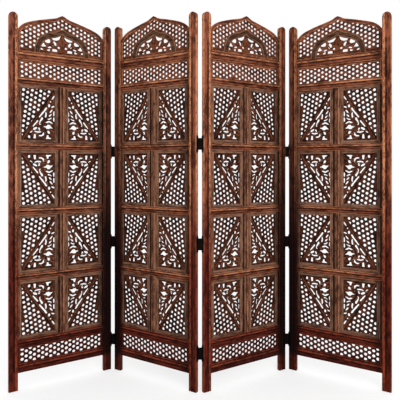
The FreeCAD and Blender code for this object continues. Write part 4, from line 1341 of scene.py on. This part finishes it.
# %% Insert: in its place
deep = at(0, FIELD_BACK, 0)
mirror_up = Matrix.Scale(-1, 4, (0, 0, 1))
insert_parts = [
    (rim_shadow, deep @ at((rim_w + 1.5) * MM, 0, rim_w * MM), UP),
    (field_board, deep @ UPRIGHT, UP),
    (leaves, deep @ UPRIGHT, UP),
    (stem, deep @ UPRIGHT, UP),
    (side_rim, at(rim_w / 2 * MM), UP),
    (side_rim, at((insert_w - rim_w / 2) * MM) @ Matrix.Rotation(math.pi, 4, "Z"), UP),
    (end_rim, at(0, 0, rim_w / 2 * MM) @ mirror_up @ LYING, ACROSS),
    (end_rim, at(0, 0, (cell_h - rim_w / 2) * MM) @ LYING, ACROSS),
    (bar, deep @ at((rim_w - 3) * MM, 0, (rim_w - 4) * MM) @ Matrix.Rotation(bar_turn, 4, "Y"), UP),
]
MIRROR = at(insert_w * MM) @ Matrix.Scale(-1, 4, (1, 0, 0))
UPSIDE_DOWN = at(0, 0, INSERT_HEIGHT) @ mirror_up
lip_back = (INSERT_THICKNESS - lip_thickness) / 2
for number, base in enumerate(row_bases):
    node = f"insert_row_{number + 1}"
    hung = UPSIDE_DOWN if number % 2 else Matrix()
    for left, flipped in ((POST_WIDTH, Matrix()), (POST_WIDTH + CELL_WIDTH + MULLION_WIDTH, MIRROR)):
        for mesh, place, grain in insert_parts:
            spot = at(left, 0, base) @ hung @ flipped @ place
            kit.add(node, mesh, spot, grain, spot.determinant() < 0)
        kit.add(node, lip, at(left + CELL_WIDTH - SLACK / 2 * MM, lip_back, base), UP)
print("pieces in the kit", sum(len(pieces) for pieces in kit.pieces.values()))


# %% [markdown]
# Shade is painted on the wood. The posts get darker towards the floor, and so do the lowest rails and
# boards: painted shade, where the light falls off low down. Where two panels fold away from the room, the
# front of their posts is nearly black, and the front beside each right post is darker: painted shadow.
# The shade could be left to the lamp, but a soft, even light doesn't reach so deep a shadow. So both are
# marks on the points, worked out from the place in the panel, and they look the same in other light too.

# %% Painted shade
LOW_SHADE_FROM_TO = {"post": (1.08, 0.58), "rail": (0.5, 0.22), "board": (0.28, 0.18)}
FAR_REACH = (0.080, 0.036)
FAR_HEIGHT, FAR_AT_TOP = (1.75, 0.55), 0.35
FOOT_HEIGHT, FOOT_LIGHTER = (0.1, 0.06), 0.45
POST_SHADOW_START, POST_SHADOW_END, POST_SHADOW_STRENGTH = (0.405, 0.455), (0.468, 0.464), 0.55
FRONT_SIDE = (0.004, -0.004)


def smooth(value, start, end):
    """0 at the start, 1 at the end, with a soft step between."""
    share = min(max((value - start) / (end - start), 0.0), 1.0)
    return share * share * (3 - 2 * share)


def painted_shade_marks(u, v, w, far_at_right, on_rail):
    """The painted shade low down, and on the front the painted shade in the far fold and the painted shadow
    beside the right post.
    """
    on_post = u < POST_WIDTH or u > RIGHT_EDGE
    kind = "post" if on_post else "rail" if on_rail else "board"
    # Painted shade: darker towards the floor.
    deep = smooth(w, *LOW_SHADE_FROM_TO[kind])
    from_far = PANEL_WIDTH - u if far_at_right else u
    # Painted shade on the front of the posts in the far fold.
    far_fold_shade = smooth(from_far, *FAR_REACH)
    far_fold_shade *= FAR_AT_TOP + (1 - FAR_AT_TOP) * smooth(w, *FAR_HEIGHT)
    far_fold_shade *= 1 - FOOT_LIGHTER * smooth(w, *FOOT_HEIGHT)
    # Painted shadow of the right post, on the rails and boards beside it.
    post_shadow = smooth(u, *POST_SHADOW_START) * smooth(u, *POST_SHADOW_END) * POST_SHADOW_STRENGTH
    # Only the front side takes the painted shade and shadow.
    return deep, max(far_fold_shade, post_shadow) * smooth(v, *FRONT_SIDE)


print("painted shade on a post deepens below", LOW_SHADE_FROM_TO["post"][0], "m")


# %% [markdown]
# They could be joined by hand with Ctrl J, but the script also has to give every point its grain: a place
# measured along the stick that it belongs to, which the wood's noise is drawn out along. Each piece
# starts somewhere else in the noise, as sticks from different planks do.

# %% Joining pieces
GRAIN_STEP_OF_COPY = (0.37, 0.0, 0.713)
GRAIN_STEP_OF_PIECE = (0.211, 0.137, 0.291)


def joined(name, pieces, place, seed, far_at_right):
    """One mesh from several, with the grain attribute worked out from the panel's own frame."""
    work = bmesh.new()
    grain_layer = work.verts.layers.float_vector.new("grain")
    low_shade_layer = work.verts.layers.float.new("deep")
    shade_layer = work.verts.layers.float.new("shade")
    on_rail = "frame_rails" in name
    start = 0
    for number, (mesh, grain) in enumerate(pieces):
        work.from_mesh(mesh)
        work.verts.ensure_lookup_table()
        steps = zip(GRAIN_STEP_OF_COPY, GRAIN_STEP_OF_PIECE)
        offset = Vector([seed * of_copy + number * of_piece for of_copy, of_piece in steps])
        for vert in work.verts[start:]:
            u, v, w = vert.co
            local = Vector((w, v, u)) if grain == ACROSS else Vector((u, v, w))
            vert[grain_layer] = local + offset
            # Each point gets its painted shade from its place in the panel.
            vert[low_shade_layer], vert[shade_layer] = painted_shade_marks(u, v, w, far_at_right, on_rail)
        start = len(work.verts)
    materials = [mesh.materials[0] for mesh, grain in pieces]
    slots = list(dict.fromkeys(materials))
    first = 0
    work.faces.ensure_lookup_table()
    for (mesh, grain), material in zip(pieces, materials):
        for face in work.faces[first:first + len(mesh.polygons)]:
            face.material_index = slots.index(material)
        first += len(mesh.polygons)
    done = bpy.data.meshes.new(name)
    work.to_mesh(done)
    work.free()
    for material in slots:
        done.materials.append(material)
    done.transform(place)
    return done


print("ready to join")

# %% [markdown]
# A collection instance could repeat it, but every panel turns on its own hinges and has its own stretch
# of grain, so each gets its own meshes.

# %% Panels in place
SEEDS_PER_PANEL = 20
total = 0
for seed, (panel, (left, depth, turn)) in enumerate(PLACES.items()):
    place = at(left, depth) @ Matrix.Rotation(turn, 4, "Z")
    for number, (node, pieces) in enumerate(kit.pieces.items()):
        name = f"{panel}_{node}"
        mesh = joined(name + "_carved", pieces, place, seed * SEEDS_PER_PANEL + number, turn > 0)
        piece = bpy.data.objects.new(name + "_carved", mesh)
        scene.collection.objects.link(piece)
        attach(piece, panel)
        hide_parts(name)
        total += len(mesh.polygons)
print("faces of the wood", total)

# %% [markdown]
# Each hinge is a double-action one, so that the screen folds both ways. A leaf is let into the edge of
# each post and holds a pin between two lugs, and a link turns on both pins. Real ones are cast iron. A
# leaf could be a plain block, but a hinge is looked at closely. So it has rounded corners, which come
# from filleting its outline before it gets its thickness.

# %% Hinge leaf tree: plate
CORNER_RADIUS = 0.0025
CORNER_STEPS = 4
hinge_leaf_tree, wires, given, result = new_tree(
    "hinge leaf", "GeometryNodeTree",
    [("Geometry", GEOMETRY, None), ("Height", FLOAT, 0.084), ("Width", FLOAT, 0.016),
     ("Thickness", FLOAT, 0.002), ("Screws", COUNT, 4), ("Screw pitch", FLOAT, 0.016),
     ("Head radius", FLOAT, 0.0032), ("Material", MATERIAL, None)],
    [("Geometry", GEOMETRY)])
outline = wires.first("GeometryNodeCurvePrimitiveQuadrilateral", {
    "Width": given["Width"], "Height": given["Height"]})
outline = wires.first("GeometryNodeFilletCurve", {
    "Curve": outline, "Radius": CORNER_RADIUS, "Count": CORNER_STEPS}, mode="POLY")
plate = wires.first("GeometryNodeFillCurve", {"Curve": outline}, mode="NGONS")
plate = wires.first("GeometryNodeExtrudeMesh", {
    "Mesh": plate, "Offset Scale": given["Thickness"], "Individual": False})
face_below = wires.first("GeometryNodeFillCurve", {"Curve": outline}, mode="NGONS")
face_below = wires.first("GeometryNodeFlipFaces", {"Mesh": face_below})
print("plate made with", len(hinge_leaf_tree.nodes), "nodes")

# %% [markdown]
# Screws hold the leaf: each is a countersunk head with a slot cut across it. They could be three copied
# objects. Because screws repeat, the tree makes one and sets it on a row of points, each turned by chance,
# as nobody stops a screwdriver at the same angle twice.

# %% Hinge leaf tree: screws
HEAD_SIDES = 14
HEAD_TAPER = 0.7
HEAD_DEPTH = 0.0012
SLOT_WIDTH = 0.0009
HEAD_SUNK = 0.0009
WELD_IRON = 0.00001
head = wires.first("GeometryNodeMeshCone", {
    "Vertices": HEAD_SIDES, "Radius Top": given["Head radius"],
    "Radius Bottom": wires.times(given["Head radius"], HEAD_TAPER), "Depth": HEAD_DEPTH})
slot_size = wires.vector(wires.times(given["Head radius"], 3.0), SLOT_WIDTH, HEAD_DEPTH)
slot_cut = wires.first("GeometryNodeMeshCube", {"Size": slot_size})
slot_cut = wires.first("GeometryNodeTransform", {"Geometry": slot_cut, "Translation": (0.0, 0.0, HEAD_DEPTH)})
slotted = wires.node("GeometryNodeMeshBoolean", {"Mesh 1": head}, operation="DIFFERENCE")
wires.tree.links.new(slot_cut, slotted.inputs["Mesh 2"])
row_length = wires.times(wires.minus(given["Screws"], 1.0), given["Screw pitch"])
row = wires.first("GeometryNodeMeshLine", {
    "Count": given["Screws"],
    "Start Location": wires.vector(0.0, wires.times(row_length, -0.5),
                                   wires.minus(given["Thickness"], HEAD_SUNK)),
    "Offset": wires.vector(0.0, given["Screw pitch"], 0.0)})
spin = wires.node("FunctionNodeRandomValue", {"Seed": 5, 2: 0.0, 3: math.pi}, data_type="FLOAT").outputs[1]
screws = wires.first("GeometryNodeInstanceOnPoints", {
    "Points": row, "Instance": slotted.outputs[0], "Rotation": wires.vector(0.0, 0.0, spin)})
whole = wires.join(plate, face_below, screws)
whole = wires.first("GeometryNodeRealizeInstances", {"Geometry": whole})
whole = wires.first("GeometryNodeMergeByDistance", {"Geometry": whole, "Distance": WELD_IRON})
wires.finish(whole, given["Material"], result)
print("hinge leaf tree", len(hinge_leaf_tree.nodes), "nodes")

# %% [markdown]
# The sizes of a hinge follow from the fold: its link is as long as two pins are apart, and its barrels
# must clear the edges of the posts. They could be written where they are used, but the leaf, the lugs
# and the link share many of them, so they stand here together. The hinges of the middle fold sit higher
# than the others.

# %% Hinge sizes
LEAF_HEIGHT = 84 * MM
LEAF_WIDTH = 16 * MM
LEAF_PROUD = 0.3 * MM
LEAF_THICKNESS = 2 * MM
LINK_HEIGHT = 56 * MM
BARREL_RADIUS = 3 * MM
PIN_RADIUS = 1.6 * MM
PIN_PLAY = 0.1 * MM
HEAD_RADIUS = 2.3 * MM
HEAD_HEIGHT = 1.0 * MM
LUG_HEIGHT = 8 * MM
LUG_GAP = 0.3 * MM
HINGE_HEIGHTS = (156 * MM, 675 * MM, 1152 * MM)
MIDDLE_FOLD_LIFT = 28 * MM
print("a hinge is", round((LINK_HEIGHT + 2 * (LUG_GAP + LUG_HEIGHT)) / MM, 1), "mm high over its lugs")


# %% [markdown]
# Links, lugs and pins are upright blocks with round ends and bores. They could be cylinders and boxes
# joined by booleans. The board tree already saws an outline, cuts openings through it and eases the
# edges, so it makes the iron blocks too: each is a small, very thick board.

# %% Iron blocks
def ring_points(x, y, radius, start, sweep, count):
    """Points on an arc, in millimetres."""
    turns = (math.radians(start + sweep * n / count) for n in range(count + 1))
    return [((x + radius * math.cos(a)) / MM, (y + radius * math.sin(a)) / MM, 1) for a in turns]


def disc(radius, x=0.0):
    """A full circle of twelve points."""
    return ring_points(x, 0.0, radius, 0, 330, 11)


def iron_block(name, loop, bores, height):
    """An upright iron piece sawn from an outline in plan, with bores through it and eased edges."""
    return drill_board(
        name, Outline=drawn(name + " outline", turned_right([loop])),
        Openings=drawn(name + " bores", turned_right(bores)), Drilled_area=nothing, Thickness=height,
        Chamfer=0.3 * MM, Material=iron)


leaf_plate = made(hinge_leaf_tree, "hinge leaf", {
    "Height": LEAF_HEIGHT, "Width": LEAF_WIDTH, "Thickness": LEAF_THICKNESS + LEAF_PROUD, "Screws": 3,
    "Screw pitch": 17 * MM, "Material": iron})
barrel = ring_points(PIN_SETBACK, 0.0, BARREL_RADIUS, -90, 180, 10)
lug = iron_block("lug", [(-1, -3, 1)] + barrel + [(-1, 3, 1)], [], LUG_HEIGHT)
right_end = ring_points(PIN_SPACING / 2, 0.0, BARREL_RADIUS, -90, 180, 10)
left_end = ring_points(-PIN_SPACING / 2, 0.0, BARREL_RADIUS, 90, 180, 10)
link_bores = [disc(PIN_RADIUS + PIN_PLAY, x) for x in (-PIN_SPACING / 2, PIN_SPACING / 2)]
link_block = iron_block("link", right_end + left_end, link_bores, LINK_HEIGHT)
pin_bar = iron_block("pin", disc(PIN_RADIUS), [], LINK_HEIGHT + 2 * (LUG_GAP + LUG_HEIGHT) + 2 * MM)
pin_head = iron_block("pin head", disc(HEAD_RADIUS), [], HEAD_HEIGHT)
print("leaf faces", len(leaf_plate.polygons), "link faces", len(link_block.polygons))

# %% [markdown]
# A leaf and its lugs move with the post, and so does the pin. Each side of a hinge is put together once
# in the panel's frame and then turned to face left or right. A turn is better than a mirror here: it
# leaves the faces as they are.

# %% One side of a hinge
OUTWARD = Matrix(((0, 0, 1, 0), (1, 0, 0, 0), (0, 1, 0, 0), (0, 0, 0, 1)))


def hinge_side(edge, facing, height):
    """The leaf and pin meshes of one hinge, at a panel's edge, facing 1 to the right or -1 to the left."""
    spot = at(edge, 0, height) @ Matrix.Rotation(0 if facing > 0 else math.pi, 4, "Z")
    lug_up = LINK_HEIGHT / 2 + LUG_GAP + LUG_HEIGHT / 2
    leaf = [(leaf_plate, spot @ at(-LEAF_THICKNESS) @ OUTWARD)]
    leaf += [(lug, spot @ at(0, 0, side * lug_up)) for side in (-1, 1)]
    head_up = lug_up + LUG_HEIGHT / 2 + HEAD_HEIGHT / 2
    at_pin = spot @ at(PIN_SETBACK)
    pin = [(pin_bar, at_pin)] + [(pin_head, at_pin @ at(0, 0, side * head_up)) for side in (-1, 1)]
    return leaf, pin


def placed(parts):
    """Copies of meshes at their places, ready to join."""
    done = []
    for mesh, spot in parts:
        copy = mesh.copy()
        copy.transform(spot)
        done.append((copy, UP))
    return done


def heights_at(fold):
    """The middle heights of the three hinges of a fold."""
    return [height + (MIDDLE_FOLD_LIFT if fold == 2 else 0.0) for height in HINGE_HEIGHTS]


print("hinge heights", [round(height, 3) for height in heights_at(1)], "and", MIDDLE_FOLD_LIFT, "more")

# %% [markdown]
# The outer panels have hinges at one edge and the inner ones at both. So they are joined in the same way,
# and ride on their panel.

# %% Hinge leaves and pins in place
for number, (panel, (left, depth, turn)) in enumerate(PLACES.items(), start=1):
    place = at(left, depth) @ Matrix.Rotation(turn, 4, "Z")
    leaves, pins = [], []
    for fold, edge, facing in ((number - 1, 0.0, -1), (number, PANEL_WIDTH, 1)):
        for height in heights_at(fold) if 1 <= fold <= 3 else []:
            leaf, pin = hinge_side(edge, facing, height)
            leaves += leaf
            pins += pin
    for node, parts in (("hinge_leaves", leaves), ("hinge_pins", pins)):
        name = f"{panel}_{node}"
        mesh = joined(name, placed(parts), place, number, False)
        piece = bpy.data.objects.new(name + "_forged", mesh)
        scene.collection.objects.link(piece)
        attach(piece, panel)
        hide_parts(name)
print("panels with hinges", number)

# %% [markdown]
# The three links of a fold turn against both panels, so they are on a body of their own. They could be
# turned to suit each fold, but the panels on both sides are folded by the same angle, so every link
# stands square to the room and only has to be moved to its fold.

# %% Hinge links in place
FOLD_ACROSS = PIN_SPACING + (PANEL_WIDTH + 2 * PIN_SETBACK) * RUN
FOLD_BACK = (PANEL_WIDTH / 2 + PIN_SETBACK) * math.sin(FOLD_ANGLE)
FOLDS = ((-FOLD_ACROSS, FOLD_BACK), (0.0, -FOLD_BACK), (FOLD_ACROSS, FOLD_BACK))
for fold, (across, back) in enumerate(FOLDS, start=1):
    parts = placed([(link_block, at(0, 0, height)) for height in heights_at(fold)])
    name = f"fold_{fold}_links"
    mesh = joined(name, parts, at(across, back), fold, False)
    piece = bpy.data.objects.new(name + "_forged", mesh)
    scene.collection.objects.link(piece)
    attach(piece, f"link_{fold}")
    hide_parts(name)
print("folds", len(FOLDS), "hinges", len(FOLDS) * len(HINGE_HEIGHTS))

# %% [markdown]
# The screen stands on a pale floor that keeps its soft shadow. A floor of pure white paint would take the
# shadow only with strong lamps. So it is part grey paint, which shows the shadow, and part glow, which
# only the camera, glossy and clear things see, and which throws no light on the wood.

# %% Floor
FLOOR_REACH = 6.0
FLOOR_GREY = (0.42, 0.42, 0.42, 1.0)
FLOOR_GLOW = 0.58
floor_mesh = bpy.data.meshes.new("floor")
corners = [(x * FLOOR_REACH, y * FLOOR_REACH, 0) for x, y in ((-1, -1), (1, -1), (1, 1), (-1, 1))]
floor_mesh.from_pydata(corners, [], [(0, 1, 2, 3)])
floor = bpy.data.objects.new("floor", floor_mesh)
scene.collection.objects.link(floor)
pale = bpy.data.materials.new("pale floor")
pale.use_nodes = True
pale.node_tree.nodes.clear()
wires = Wires(pale.node_tree)
lit = wires.first("ShaderNodeBsdfDiffuse", {"Color": FLOOR_GREY})
glow = wires.first("ShaderNodeEmission", {
    "Color": WHITE, "Strength": wires.times(clear_view(wires), FLOOR_GLOW)})
both = wires.first("ShaderNodeAddShader", {0: lit, 1: glow})
wires.node("ShaderNodeOutputMaterial", {"Surface": both})
floor_mesh.materials.append(pale)
print("floor is", 2 * FLOOR_REACH, "m wide")

# %% [markdown]
# The drawn lines have done their work. They could be hidden, but they aren't part of the screen, so they
# are removed.

# %% Removing the drawn lines
for helper in [o for o in scene.objects if o.type == "CURVE"]:
    bpy.data.objects.remove(helper)
